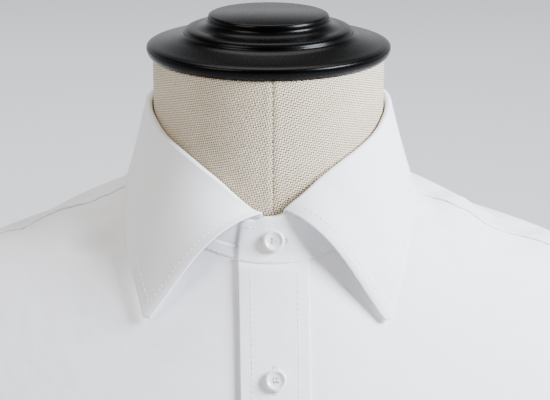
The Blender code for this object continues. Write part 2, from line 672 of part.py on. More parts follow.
def level_normal(rise):
    """Straight out from a rise in the YZ plane."""
    normal = np.array([0.0, -rise[2], rise[1]])
    return normal / np.linalg.norm(normal)


def make_buttons():
    pearl = material("white mother of pearl", (0.86, 0.86, 0.84), 0.25)

    def sew(name, point, normal):
        seat = lift_to_place(point) + normal * GAP
        turned(name, BUTTON_PROFILE, 10, pearl, facing(seat, normal))

    along = np.linspace(0.0, 0.2, 801)
    row = stand_place(along, np.full(along.shape, 0.5))
    middle = np.full(2, along[np.argmin(np.abs(row[:, 0]))])
    low, high = stand_place(middle, np.array([0.34, 0.66]))
    sew("button_collar", (low + high) / 2, level_normal(high - low))
    rows = np.array(PLACKET_ROWS)
    middle = body(np.zeros(len(rows)), rows, np.full(len(rows), 2 * LAP))
    for number, height in enumerate(BUTTON_HEIGHTS, 1):
        below = int(np.argmax(middle[:, 2] < height))
        rise = middle[below - 1] - middle[below]
        point = middle[below] + rise * (height - middle[below][2]) / rise[2]
        sew(f"button_front_{number}", point, level_normal(rise))
    out = CUFF_WALL + GAP
    height = CUFF_TOP - CUFF_DEEP / 2
    before, point, after = cuff_face(CUFF_LAP_TURN + np.array([-0.01, 0.0, 0.01]), height, out)
    normal = np.array([after[1] - before[1], before[0] - after[0], 0.0])
    normal = normal * math.copysign(1.0, normal[0]) / np.linalg.norm(normal)
    for name, side in (("left", 1), ("right", -1)):
        mirror = np.array([side, 1, 1])
        sew(f"button_cuff_{name}", point * mirror, normal * mirror)


def make_form():
    linen = material("natural linen", (0.42, 0.36, 0.30), 0.9)
    black = material("black lacquered wood", (0.012, 0.012, 0.013), 0.28)
    steel = material("black powder coated steel", (0.02, 0.02, 0.02), 0.45)
    count = 36
    angle = np.linspace(0, 2 * math.pi, count, endpoint=False)
    halves = (NECK_RADII[0], NECK_RADII[1], NECK_RADII[1])
    x, y = ellipse(halves, angle)
    rings = [np.stack([x, y, np.full(count, height)], -1) for height in NECK_ROWS]
    seam = bare_body(angle, np.zeros(count))[:, 2]
    swell = 1 + NECK_ROOT[0] / NECK_RADII[0]
    rings.append(np.stack([x * swell, y * swell, seam + NECK_ROOT[1]], -1))
    for ring, inset in zip(FORM_INSET["ring"], FORM_INSET["inset"]):
        rows = np.full(count, ring)
        rings.append(bare_body(angle, rows) - inset * body_normal(angle, rows))
    low = rings[-1].copy()
    low[:, 2] = TORSO_BOTTOM
    rings.append(low)
    loft("form_torso", [lift_to_place(ring) for ring in rings], linen)
    turned("form_neck_cap", CAP_PROFILE, 32, black, Matrix.Translation((0, 0, NECK_HEIGHT + NECK_TOP)))
    pole_top = NECK_HEIGHT + TORSO_BOTTOM - GAP
    pole_low = FOOT_THICK + GAP
    pole = ((0.0, pole_top - pole_low), (POLE_RADIUS, pole_top - pole_low), (POLE_RADIUS, 0.0), (0.0, 0.0))
    turned("form_pole", pole, 20, steel, Matrix.Translation((0, 0, pole_low)))
    turned("form_base", FOOT_PROFILE, 40, steel, Matrix.Identity(4))


for old in list(bpy.data.objects):
    bpy.data.objects.remove(old, do_unlink=True)
PARTS = bpy.data.collections.new("dress_shirt_on_form")
bpy.context.scene.collection.children.link(PARTS)
make_shirt()
make_buttons()
make_form()
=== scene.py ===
# %% [markdown]
# A white dress shirt with a spread collar, buttoned and worn by a limbless, linen covered
# dress form. The solids of the part are loaded first as a fixed frame. Every piece of cloth
# is then laid again as a fine, thin shell on the same curves, because real shirting is well
# under a millimetre thick and shows its seams, stitches and creases.

# %% Load the fixed frame
import json
import math

import bmesh
import bpy
import numpy as np
from mathutils import Matrix, Vector

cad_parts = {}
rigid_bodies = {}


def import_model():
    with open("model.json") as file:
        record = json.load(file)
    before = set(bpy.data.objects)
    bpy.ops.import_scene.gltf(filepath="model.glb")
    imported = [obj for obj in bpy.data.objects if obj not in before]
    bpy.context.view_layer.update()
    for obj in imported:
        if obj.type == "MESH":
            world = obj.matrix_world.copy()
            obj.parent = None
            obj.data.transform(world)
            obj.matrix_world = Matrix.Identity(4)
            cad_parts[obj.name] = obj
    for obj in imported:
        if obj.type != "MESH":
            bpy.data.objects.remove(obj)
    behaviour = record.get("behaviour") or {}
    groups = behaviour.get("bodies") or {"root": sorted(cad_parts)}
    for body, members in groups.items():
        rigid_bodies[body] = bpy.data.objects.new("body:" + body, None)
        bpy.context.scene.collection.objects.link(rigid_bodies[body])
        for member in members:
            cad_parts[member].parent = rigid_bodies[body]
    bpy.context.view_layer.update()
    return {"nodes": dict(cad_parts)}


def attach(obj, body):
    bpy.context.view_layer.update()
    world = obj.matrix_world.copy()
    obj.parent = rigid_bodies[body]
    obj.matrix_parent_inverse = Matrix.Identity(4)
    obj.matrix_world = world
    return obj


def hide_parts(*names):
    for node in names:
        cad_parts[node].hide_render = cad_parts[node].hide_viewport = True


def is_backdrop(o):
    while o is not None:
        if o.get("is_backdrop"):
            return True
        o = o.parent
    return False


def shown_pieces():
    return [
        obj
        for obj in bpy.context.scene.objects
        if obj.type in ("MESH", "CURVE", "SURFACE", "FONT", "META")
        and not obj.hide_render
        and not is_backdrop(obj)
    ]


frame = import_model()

print("solids in the frame:", len(frame["nodes"]))

# %% [markdown]
# The camera comes first. The photo looks down on the collar from a metre away, with a long
# lens. The lens is worked out from the focal length in pixels and the frame's width.

# %% Camera
PHOTO_WIDTH = 550
FOCAL_PIXELS = 1865.0      # from about a metre, 122 mm of linen neck spans 232 of the photo's pixels
SENSOR = 36.0
NECK_HEIGHT = 0.920        # side of the neck above the floor
PITCH = math.radians(17.0)
TURN = math.radians(-2.2)
DISTANCE = 1.0
AIM_ASIDE, AIM_BELOW = 0.0034, 0.0139    # the middle of the frame, from the side of the neck

target = Vector((AIM_ASIDE, 0.0, NECK_HEIGHT - AIM_BELOW))
back_way = Vector((
    math.sin(TURN) * math.cos(PITCH), -math.cos(TURN) * math.cos(PITCH), math.sin(PITCH)
))
lens = bpy.data.cameras.new("photo_camera")
lens.sensor_width = SENSOR
lens.lens = SENSOR * FOCAL_PIXELS / PHOTO_WIDTH
camera = bpy.data.objects.new("photo_camera", lens)
camera.location = target + back_way * DISTANCE
camera.rotation_euler = (-back_way).to_track_quat("-Z", "Y").to_euler()
bpy.context.scene.collection.objects.link(camera)
bpy.context.scene.camera = camera
print("lens", round(lens.lens, 1), "mm")

# %% [markdown]
# The shirt's form comes from a few short tables, read with smooth curves. These small helpers
# turn a table into named columns, draw a curve through one, ease between two values, and measure
# how far a path has run.

# %% Helpers for tables and curves


def columns(names, rows):
    """A short table as one array for each named column."""
    return {name: np.array(column, float) for name, column in zip(names.split(), zip(*rows))}


def through(knots, values, at):
    """A smooth curve through a table's values."""
    at = np.clip(np.asarray(at, float), knots[0], knots[-1])
    steps = np.diff(knots)
    slopes = np.diff(values) / steps
    inner = (slopes[:-1] * steps[1:] + slopes[1:] * steps[:-1]) / (steps[1:] + steps[:-1])
    bends = np.concatenate([slopes[:1], inner, slopes[-1:]])
    index = np.clip(np.searchsorted(knots, at, side="right") - 1, 0, len(knots) - 2)
    wide = steps[index]
    t = (at - knots[index]) / wide
    low, high = values[index], values[index + 1]
    return (
        (2 * t**3 - 3 * t**2 + 1) * low
        + (t**3 - 2 * t**2 + t) * wide * bends[index]
        + (3 * t**2 - 2 * t**3) * high
        + (t**3 - t**2) * wide * bends[index + 1]
    )


def smooth(low, high, at):
    """From 0 at low to 1 at high, level at both ends."""
    t = np.clip((np.asarray(at, float) - low) / (high - low), 0.0, 1.0)
    return t * t * (3 - 2 * t)


def unit(vectors):
    """Vectors with the same directions and a length of one."""
    return vectors / np.linalg.norm(vectors, axis=-1, keepdims=True)


def length_along(points):
    """How far a path has run at each of its points."""
    return np.concatenate([[0.0], np.cumsum(np.linalg.norm(np.diff(points, axis=0), axis=1))])


# %% [markdown]
# The body of the shirt is a stack of rings from the neck seam to the hem. Each ring is a
# rounded oval that drops towards the middle of the front and back. The same rings shape the
# solids, so the fine cloth lies where they are.

# %% Form of the shirt's body
BODY = columns("side front back half_width front_deep back_deep", (
    (0.0000, -0.0235, 0.0120, 0.0690, 0.0715, 0.0690),    # neck seam
    (-0.0105, -0.0420, 0.0005, 0.0840, 0.0790, 0.0810),
    (-0.0235, -0.0720, -0.0215, 0.1150, 0.0920, 0.0960),
    (-0.0385, -0.1080, -0.0420, 0.1550, 0.1060, 0.1080),
    (-0.0560, -0.1420, -0.0640, 0.1940, 0.1160, 0.1150),
    (-0.0710, -0.1750, -0.0850, 0.2230, 0.1210, 0.1180),  # shoulder point
    (-0.1450, -0.2200, -0.1560, 0.2100, 0.1260, 0.1220),
    (-0.2500, -0.2800, -0.2600, 0.1930, 0.1280, 0.1230),  # underarm
    (-0.3450, -0.3600, -0.3500, 0.1850, 0.1230, 0.1160),
    (-0.4500, -0.4600, -0.4550, 0.1790, 0.1180, 0.1110),  # waist
    (-0.5650, -0.5800, -0.5750, 0.1850, 0.1220, 0.1170),
    (-0.6700, -0.7500, -0.7600, 0.1900, 0.1260, 0.1220),  # hem, with its tails
))
SHOULDER, UNDERARM, HEM = 5.0, 7.0, 11.0
DROP_POWER = 1.4
RINGS = np.arange(len(BODY["side"]), dtype=float)
BODY_FOLDS = columns("degrees width proud starts full", (
    (22.0, 8.0, 0.0050, 5.6, 9.6),
    (45.0, 10.0, -0.0065, 6.2, 9.2),
    (66.0, 8.0, 0.0060, 7.2, 10.0),
    (84.0, 7.0, -0.0045, 7.6, 10.4),
    (104.0, 9.0, 0.0050, 7.4, 10.0),
    (127.0, 11.0, -0.0065, 6.6, 9.4),
    (152.0, 9.0, 0.0075, 5.7, 8.8),
    (176.0, 10.0, -0.0060, 6.0, 9.2),
    (203.0, 9.0, 0.0080, 5.8, 9.2),
    (231.0, 11.0, -0.0060, 6.4, 9.6),
    (257.0, 9.0, 0.0050, 7.4, 10.0),
    (278.0, 7.0, -0.0040, 7.8, 10.6),
    (296.0, 8.0, 0.0060, 7.0, 9.8),
    (319.0, 10.0, -0.0060, 6.1, 9.0),
    (339.0, 8.0, 0.0055, 5.6, 9.2),
))


def bare_body(angle, ring):
    """The body's face without folds. Angle runs from the centre front towards +X."""
    side, front, back, half, front_deep, back_deep = (
        through(RINGS, BODY[name], ring) for name in BODY
    )
    turn = np.cos(angle)
    deep = np.where(turn > 0, front_deep, back_deep)
    middle = np.where(turn > 0, front, back)
    height = side + (middle - side) * np.abs(turn) ** DROP_POWER
    return np.stack(np.broadcast_arrays(half * np.sin(angle), -deep * turn, height), -1)


def body_normal(angle, ring):
    """The direction straight out of the bare body."""
    small = 0.01
    ring = np.clip(ring, small, HEM - small)
    along = bare_body(angle + small, ring) - bare_body(angle - small, ring)
    down = bare_body(angle, ring + small) - bare_body(angle, ring - small)
    return unit(np.cross(down, along))


def fold_height(angle, ring):
    """How proud the soft folds stand at each point."""
    degrees = np.degrees(angle) % 360
    total = np.zeros(np.broadcast(degrees, ring).shape)
    for where, width, proud, starts, full in zip(*BODY_FOLDS.values()):
        away = (degrees - where + 180) % 360 - 180
        total = total + proud * np.exp(-((away / width) ** 2)) * smooth(starts, full, ring)
    return total


print("chest", round(2 * math.pi * math.hypot(0.193, 0.1255) / math.sqrt(2), 2), "m round")

# %% [markdown]
# Large folds are in the rings already. The smaller creases are listed one by one: each is a short
# path on the cloth, with its own width and depth, and dies out at both ends. Uneven lengths and
# spacings look like cloth that hangs, where a noise texture would look like crumpled paper.

# %% Creases
CREASE_NAMES = "from_degrees from_ring to_degrees to_ring bow width depth"
BODY_CREASES = columns(CREASE_NAMES, (
    (-60, 1.02, -76, 1.95, 0.05, 0.0060, -0.0030),    # hollow beside the collar, right side
    (-77, 0.78, -84, 1.50, 0.04, 0.0050, -0.0022),
    (-66, 0.80, -80, 1.15, -0.02, 0.0040, 0.0010),
    (75, 0.62, 83, 1.12, 0.03, 0.0036, 0.0013),       # puckers beside the collar, left side
    (71, 0.78, 77, 1.42, 0.02, 0.0036, -0.0014),
    (66, 0.92, 72, 1.50, -0.03, 0.0042, 0.0012),
    (60, 1.02, 68, 1.75, 0.05, 0.0048, -0.0012),
    (97, 1.22, 109, 1.50, 0.04, 0.0048, -0.0024),     # puffs of the strip behind the left seam
    (91, 1.62, 103, 1.92, -0.03, 0.0052, 0.0018),
    (89, 2.02, 101, 2.30, 0.04, 0.0046, -0.0022),
    (92, 2.58, 103, 2.80, 0.03, 0.0050, -0.0024),
    (88, 3.10, 97, 3.42, -0.03, 0.0056, 0.0014),
    (-98, 1.48, -110, 1.74, 0.04, 0.0050, -0.0020),   # and behind the right one
    (-96, 2.38, -106, 2.68, 0.03, 0.0050, -0.0016),
    (66, 6.10, 38, 6.90, 0.10, 0.011, -0.0051),       # drawn from the left armhole
    (68, 6.45, 47, 7.60, 0.12, 0.009, -0.0045),
    (75, 6.80, 58, 8.15, 0.10, 0.010, 0.0042),
    (-65, 6.00, -42, 6.65, 0.08, 0.010, -0.0045),     # and from the right one
    (-67, 6.38, -51, 7.75, 0.16, 0.011, -0.0054),
    (-76, 6.85, -61, 8.00, 0.08, 0.008, 0.0039),
    (26, 8.30, 60, 8.95, 0.14, 0.012, -0.0045),       # waist, front
    (-20, 8.62, -58, 9.05, -0.12, 0.010, -0.0039),
    (-34, 9.30, -66, 9.60, 0.10, 0.012, 0.0036),
    (40, 9.45, 74, 9.15, 0.10, 0.010, -0.0036),
    (70, 8.70, 104, 9.02, 0.08, 0.010, -0.0042),      # waist, sides
    (-74, 8.95, -108, 8.55, 0.10, 0.011, -0.0045),
    (-82, 9.60, -106, 9.90, 0.06, 0.010, 0.0033),
    (116, 6.20, 148, 6.85, 0.10, 0.011, -0.0084),     # back, below the shoulder blades
    (112, 6.70, 134, 7.70, 0.12, 0.009, -0.0066),
    (-118, 6.15, -144, 6.62, 0.08, 0.010, -0.0074),
    (-111, 6.60, -137, 7.90, 0.16, 0.011, -0.0080),
    (132, 8.25, 170, 8.80, 0.12, 0.011, -0.0072),     # back of the waist
    (-128, 8.55, -166, 8.92, -0.10, 0.009, -0.0064),
    (160, 7.30, 192, 7.52, 0.06, 0.013, 0.0048),
    (150, 9.50, 182, 9.25, 0.08, 0.010, 0.0052),
))


def crease_paths(table, surface):
    """Each crease as nine points on a surface, with its width and depth."""
    made = []
    share = np.linspace(0.0, 1.0, 9)
    for a0, r0, a1, r1, bow, width, depth in zip(*table.values()):
        first = a0 + (a1 - a0) * share
        second = r0 + (r1 - r0) * share + bow * np.sin(math.pi * share)
        made.append((surface(first, second), width, depth))
    return made


def relief(points, paths):
    """How far the creases move each point along its normal."""
    flat = points.reshape(-1, 3)
    total = np.zeros(len(flat))
    for path, width, depth in paths:
        low = path.min(0) - 3 * width
        high = path.max(0) + 3 * width
        near = np.flatnonzero(((flat > low) & (flat < high)).all(1))
        if not len(near):
            continue
        best = np.full(len(near), 1e9)
        along = np.zeros(len(near))
        for k in range(len(path) - 1):
            step = path[k + 1] - path[k]
            away = flat[near] - path[k]
            t = np.clip(away @ step / (step @ step), 0, 1)
            gap = np.linalg.norm(away - t[:, None] * step, axis=1)
            closer = gap < best
            best = np.where(closer, gap, best)
            along = np.where(closer, (k + t) / (len(path) - 1), along)
        fade = np.sin(math.pi * np.clip(along, 0, 1)) ** 0.8
        total[near] += depth * np.exp(-((best / width) ** 2)) * fade
    return total.reshape(points.shape[:-1])


BODY_PATHS = crease_paths(BODY_CREASES, lambda a, r: bare_body(np.radians(a), r))
print("creases on the body:", len(BODY_PATHS))

# %% [markdown]
# Sewing draws cloth in a little between its stitches, so a seam is never straight: it puckers in
# ripples one to three centimetres long that fade within a centimetre or two. The seam on the
# wearer's left shoulder even billows in long waves, as the photo shows, so the shoulder seams have
# a table of their own.

# %% Seam lines and their ripples
SEAM = 0.0006              # the gap between two panels
EDGE_SLANT = 1.6           # it is cut at a slant, so along a ring it is wider
FRONT_EDGE = columns("ring left right", (
    (0.0, 80.0, 84.0), (1.0, 87.0, 92.0), (2.5, 86.0, 95.0), (4.0, 84.5, 91.0),
    (5.0, 79.0, 79.0), (5.5, 70.0, 70.0), (6.0, 65.0, 65.0), (6.45, 66.5, 66.5),
    (6.8, 76.0, 76.0), (7.0, 90.0, 90.0), (11.0, 90.0, 90.0),
))
BACK_EDGE = columns("ring left", (
    (5.0, 106.0), (5.5, 112.5), (6.0, 116.0), (6.45, 114.0),
    (6.8, 104.0), (7.0, 90.0), (11.0, 90.0),
))
# Degrees by which each shoulder seam strays, and how far the yoke behind it billows
SHOULDER_WAVE = columns("ring left right left_out right_out", (
    (0.0, 0.0, 0.0, 0.0000, 0.0000),
    (0.7, 3.0, 0.5, 0.0002, 0.0004),
    (1.20, 8.0, 3.0, -0.0036, -0.0012),
    (1.45, 0.2, 8.0, 0.0006, -0.0026),
    (1.78, -1.0, 0.4, 0.0010, 0.0008),
    (2.05, -2.2, 0.5, -0.0004, 0.0012),
    (2.27, -0.7, 1.5, -0.0024, 0.0000),
    (2.50, 2.2, 3.5, -0.0036, -0.0012),
    (2.80, 0.5, 2.4, -0.0008, 0.0000),
    (3.2, -1.0, -0.5, 0.0008, 0.0006),
    (3.7, 0.8, 0.6, -0.0006, -0.0004),
    (4.3, -0.5, 0.0, 0.0004, 0.0002),
    (5.0, 0.0, 0.0, 0.0000, 0.0000),
))
BILLOW_REACH = (0.060, 0.018)    # behind the seam, over the shoulder, and in front of it
PUCKER_WAVES = ((1.0, 0.00165, 1.0), (0.7, 0.00247, 2.3), (0.6, 0.0041, 4.1))    # share, length, start
STRONG_PUCKER = (0.0004, 0.012)    # how high the armholes and side seams pucker, and how far


def edge_angle(edge, ring, side="left"):
    """The cut edge of a front or the back; below the underarm it is the side seam."""
    degrees = through(edge["ring"], edge[side], ring)
    return np.radians(np.where(ring >= UNDERARM, 90.0, degrees))


def shoulder_angle(ring, side):
    """The shoulder seam with its stray waves."""
    stray = through(SHOULDER_WAVE["ring"], SHOULDER_WAVE[side], np.clip(ring, 0, SHOULDER))
    return edge_angle(FRONT_EDGE, ring, side) + np.radians(stray)


def seam_angle(ring):
    """The angle that half a seam's width takes up."""
    return EDGE_SLANT * SEAM / 2 / through(RINGS, BODY["half_width"], ring)


def pucker(along, away, start, high=0.00028, reach=0.009):
    """Ripples of sewn cloth: along and away from the seam, in metres."""
    beat = sum(share * np.sin(along / long + begin * start) for share, long, begin in PUCKER_WAVES)
    return high * 0.5 * beat * np.exp(-np.abs(away) / reach)


def seam_relief(angle, ring):
    """Puckers and billows of the shoulder, armhole, yoke and side seams."""
    turn = (angle + math.pi) % (2 * math.pi) - math.pi
    half = through(RINGS, BODY["half_width"], ring)
    front_deep, back_deep = (through(RINGS, BODY[name], ring) for name in ("front_deep", "back_deep"))
    deep = np.where(np.cos(turn) > 0, front_deep, back_deep)
    per_turn = np.hypot(half * np.cos(turn), deep * np.sin(turn))
    total = np.zeros(np.broadcast(angle, ring).shape)
    for side, sign, start in (("left", 1, 0.7), ("right", -1, 2.9)):
        away = (sign * turn - shoulder_angle(ring, side)) * per_turn
        on_top = 1 - smooth(4.6, 5.1, ring)
        on_yoke = np.clip(ring, 0, SHOULDER)
        billow = through(SHOULDER_WAVE["ring"], SHOULDER_WAVE[side + "_out"], on_yoke)
        total = total + on_top * pucker(half, away, start)
        reach = np.where(away > 0, BILLOW_REACH[0], BILLOW_REACH[1])
        total = total + on_top * billow * np.exp(-((away / reach) ** 2))
        sides = smooth(UNDERARM, 7.4, ring)
        away = (sign * turn - math.pi / 2) * per_turn
        height = through(RINGS, BODY["side"], ring)
        total = total + sides * pucker(height, away, start + 1.1, *STRONG_PUCKER)
        holes = smooth(SHOULDER, 5.3, ring) * (1 - smooth(6.8, 7.1, ring))
        for edge, more in ((FRONT_EDGE, 0.4), (BACK_EDGE, 1.9)):
            away = (sign * turn - edge_angle(edge, ring)) * per_turn
            total = total + holes * pucker(height, away, start + more, *STRONG_PUCKER)
    behind = smooth(1.75, 1.95, np.abs(turn)) * np.exp(-np.abs(ring - SHOULDER) / 0.16)
    total = total + behind * pucker(half * np.sin(turn), 0.0, 1.3, 0.00035)
    return total


def face(angle, ring, out=0.0):
    """The dressed body: rings, folds, creases and seams."""
    angle, ring, out = np.broadcast_arrays(angle, ring, out)
    inside = np.clip(ring, 0, HEM)
    bare = bare_body(angle, inside)
    way = body_normal(angle, inside)
    proud = fold_height(angle, inside) + out + relief(bare, BODY_PATHS) + seam_relief(angle, inside)
    return bare + proud[..., None] * way


print("shoulder seam strays by up to", SHOULDER_WAVE["left"].max(), "degrees")

# %% [markdown]
# A panel of cloth is a closed shell: an outer face, an inner face a wall's thickness behind it and
# a rounded rim, as where a real edge is turned under. Solidify would leave a square rim, so the
# rim is drawn here: close to an edge, both faces curve in until they meet. Each corner of the mesh
# also keeps its place on the flat cloth in metres, so that weaves can be drawn to scale.

# %% The shell builder
EDGE_STEPS = np.array([0.0, 0.00012, 0.00035, 0.0007, 0.0013, 0.0023])
PATH_SAMPLES = 900
NO_AREA = 1e-15            # keeps the normal of a closed up cell from dividing by nothing
LIFT = np.array([0.0, 0.0, NECK_HEIGHT])    # the tables have their zero at the side of the neck


def put(name, data):
    """A new object in the scene."""
    made = bpy.data.objects.new(name, data)
    bpy.context.scene.collection.objects.link(made)
    return made


def spaced(length, cell):
    """Places along a strip: close together at both ends, and a cell apart between them."""
    inner = max(2, int(round((length - 2 * EDGE_STEPS[-1]) / cell)) + 1)
    middle = np.linspace(EDGE_STEPS[-1], length - EDGE_STEPS[-1], inner)
    return np.concatenate([EDGE_STEPS[:-1], middle, length - EDGE_STEPS[-2::-1]])


def at_lengths(path, cell, low=0.0, high=1.0):
    """The values between low and high at which a path reaches its spaced places."""
    values = np.linspace(low, high, PATH_SAMPLES)
    run = length_along(path(values))
    return np.interp(spaced(run[-1], cell), run, values)


def run_along(points, axis):
    """Length along a grid from its first row or column."""
    steps = np.linalg.norm(np.diff(points, axis=axis), axis=-1)
    start = np.zeros_like(np.take(steps, [0], axis=axis))
    return np.concatenate([start, np.cumsum(steps, axis=axis)], axis=axis)


def grid_normals(points, closed, middle):
    """Normals of a grid that point away from a middle line."""
    if closed:
        around = np.concatenate([points[:, -2:-1], points, points[:, 1:2]], axis=1)
        across = around[:, 2:] - around[:, :-2]
    else:
        across = np.gradient(points, axis=1)
    normals = unit(np.cross(across, np.gradient(points, axis=0)) + NO_AREA)
    outward = (normals[..., :2] * (points[..., :2] - np.asarray(middle))).sum()
    return normals * (1 if outward > 0 else -1), outward > 0


def quads(ids):
    """The four corners of every cell in a grid of numbers."""
    corners = [ids[:-1, :-1], ids[1:, :-1], ids[1:, 1:], ids[:-1, 1:]]
    return np.stack([corner.ravel() for corner in corners], axis=1)


def shell(name, points, wall, closed=False, middle=(0.0, 0.0)):
    """A closed shell of cloth from a grid of points on its outer face."""
    rows, count = points.shape[:2]
    normals, keep = grid_normals(points, closed, middle)
    down = run_along(points, 0)
    along = run_along(points, 1)
    to_rim = np.minimum(down, down[-1:] - down)
    if not closed:
        to_rim = np.minimum(to_rim, np.minimum(along, along[:, -1:] - along))
    half = wall / 2
    inset = half - np.sqrt(half**2 - np.clip(half - to_rim, 0, half) ** 2)
    outer = points - normals * inset[..., None]
    inner = points - normals * (wall - inset)[..., None]
    raw = np.arange(rows * count).reshape(rows, count)
    outside = raw.copy()
    inside = raw + rows * count
    inside[0], inside[-1] = outside[0], outside[-1]
    if closed:
        outside[:, -1] = outside[:, 0]
        inside[:, -1] = inside[:, 0]
    else:
        inside[:, 0], inside[:, -1] = outside[:, 0], outside[:, -1]
    flip = 1 if keep else -1
    faces = np.concatenate([quads(outside)[:, ::-flip], quads(inside)[:, ::flip]])
    corners = np.concatenate([quads(raw)[:, ::-flip], quads(raw)[:, ::flip]])
    used, faces = np.unique(faces, return_inverse=True)
    faces = faces.reshape(-1, 4)
    every = np.concatenate([outer.reshape(-1, 3), inner.reshape(-1, 3)])[used]
    mesh = bpy.data.meshes.new(name)
    mesh.from_pydata((every + LIFT).tolist(), [], faces.tolist())
    flat = np.stack([along - along[:, count // 2:count // 2 + 1], -down], -1).reshape(-1, 2)
    laid = mesh.uv_layers.new(name="cloth_metres")
    laid.data.foreach_set("uv", flat[corners.ravel()].ravel())
    mesh.shade_smooth()
    wide, long = along[rows // 2, -1], down[-1, count // 2]
    print(name, len(faces), "faces,", round(wide, 3), "x", round(long, 3), "m")
    return put(name, mesh)


# %% [markdown]
# Colours are picked as sRGB hex values, as a paint chart gives them, and turned to the linear
# values that the shader wants. One helper adds a node with its settings and links.

# %% Colour and node helpers


def colour(code):
    """An sRGB hex value as a linear colour."""
    parts = [int(code[k:k + 2], 16) / 255 for k in (0, 2, 4)]
    linear = [c / 12.92 if c <= 0.04045 else ((c + 0.055) / 1.055) ** 2.4 for c in parts]
    return (*linear, 1.0)


def add(tree, kind, links=(), **settings):
    """One node. Values fill its sockets, links join them to other nodes, settings are its own."""
    made = tree.nodes.new("ShaderNode" + kind)
    for name, value in settings.items():
        if name == "values":
            for socket, number in value.items():
                made.inputs[socket].default_value = number
        else:
            setattr(made, name, value)
    for socket, source in dict(links).items():
        tree.links.new(made.inputs[socket], source)
    return made


def new_material(name, code, roughness, **more):
    """A material with its Principled shader's plain values set, and the shader itself."""
    made = bpy.data.materials.new(name)
    made.use_nodes = True
    shader = made.node_tree.nodes["Principled BSDF"]
    shader.inputs["Base Color"].default_value = colour(code)
    shader.inputs["Roughness"].default_value = roughness
    for socket, value in more.items():
        shader.inputs[socket.replace("_", " ")].default_value = value
    made.diffuse_color = colour(code)
    return made, made.node_tree, shader


# %% [markdown]
# Shirting is a plain weave of very fine cotton, about 50 threads a centimetre. That is too fine to
# show here, so the threads are drawn 0.6 mm apart and very low: the eye only gets the faint, dry
# grain of pressed poplin. Slow unevenness, with waves about a centimetre long, keeps ironed cotton
# from looking like plastic, so it gets a second, softer bump.

# %% Cotton poplin
THREAD_DRAWN = 0.0006


def weave(tree, thread, wander):
    """The cloth's flat metres, a plain weave's height, and how well its threads cover, 0 to 1."""
    laid = add(tree, "Attribute", attribute_name="cloth_metres")
    drift = add(tree, "TexNoise", {"Vector": laid.outputs["Vector"]},
                values={"Scale": 160.0, "Detail": 2.0})
    shift = add(tree, "VectorMath", {0: drift.outputs["Color"]}, operation="MULTIPLY_ADD",
                values={1: (wander, wander, 0.0), 2: (0.0, 0.0, 0.0)})
    place = add(tree, "VectorMath", {0: laid.outputs["Vector"], 1: shift.outputs[0]}, operation="ADD")
    split = add(tree, "SeparateXYZ", {0: place.outputs[0]})
    waves = []
    for axis in (0, 1):
        scaled = add(tree, "Math", {0: split.outputs[axis]}, operation="MULTIPLY",
                     values={1: math.pi / thread})
        waves.append(add(tree, "Math", {0: scaled.outputs[0]}, operation="SINE"))
    warp, weft = (add(tree, "Math", {0: wave.outputs[0]}, operation="ABSOLUTE") for wave in waves)
    cross = add(tree, "Math", {0: waves[0].outputs[0], 1: waves[1].outputs[0]}, operation="MULTIPLY")
    over = add(tree, "Math", {0: cross.outputs[0]}, operation="GREATER_THAN", values={1: 0.0})
    height = add(tree, "Mix", {"Factor": over.outputs[0], "A": warp.outputs[0], "B": weft.outputs[0]})
    cover = add(tree, "Math", {0: warp.outputs[0], 1: weft.outputs[0]}, operation="MAXIMUM")
    return laid, height, cover


def cotton(name, code, unevenness):
    """White cotton poplin. Unevenness is how much its pressed face waves."""
    made, tree, shader = new_material(
        name, code, 0.78, Sheen_Weight=0.18, Sheen_Roughness=0.45, Specular_IOR_Level=0.25,
    )
    laid, height, _ = weave(tree, THREAD_DRAWN, 0.0006)
    soft = add(tree, "TexNoise", {"Vector": laid.outputs["Vector"]},
               values={"Scale": 85.0, "Detail": 3.0, "Roughness": 0.45})
    slow = add(tree, "Bump", {"Height": soft.outputs["Fac"]},
               values={"Strength": unevenness, "Distance": 0.0012})
    grain = add(tree, "Bump", {"Height": height.outputs[0], "Normal": slow.outputs[0]},
                values={"Strength": 0.10, "Distance": 0.0001})
    tree.links.new(shader.inputs["Normal"], grain.outputs[0])
    spread = add(tree, "TexNoise", {"Vector": laid.outputs["Vector"]},
                 values={"Scale": 30.0, "Detail": 4.0})
    tint = add(tree, "Mix", {"Factor": spread.outputs["Fac"]}, data_type="RGBA",
               values={"A": colour(code), "B": colour("EDEEF1")})
    tree.links.new(shader.inputs["Base Color"], tint.outputs["Result"])
    return made


poplin = cotton("white_cotton_poplin", "F4F5F8", 0.30)
fused_poplin = cotton("fused_cotton_poplin", "F6F7F9", 0.10)
print("materials:", poplin.name, fused_poplin.name)

# %% [markdown]
# The sewing thread is spun polyester: white as the cloth, a little rounder and shinier.

# %% Polyester thread
thread, _, _ = new_material("white_polyester_thread", "F1F1F0", 0.5, Sheen_Weight=0.2)
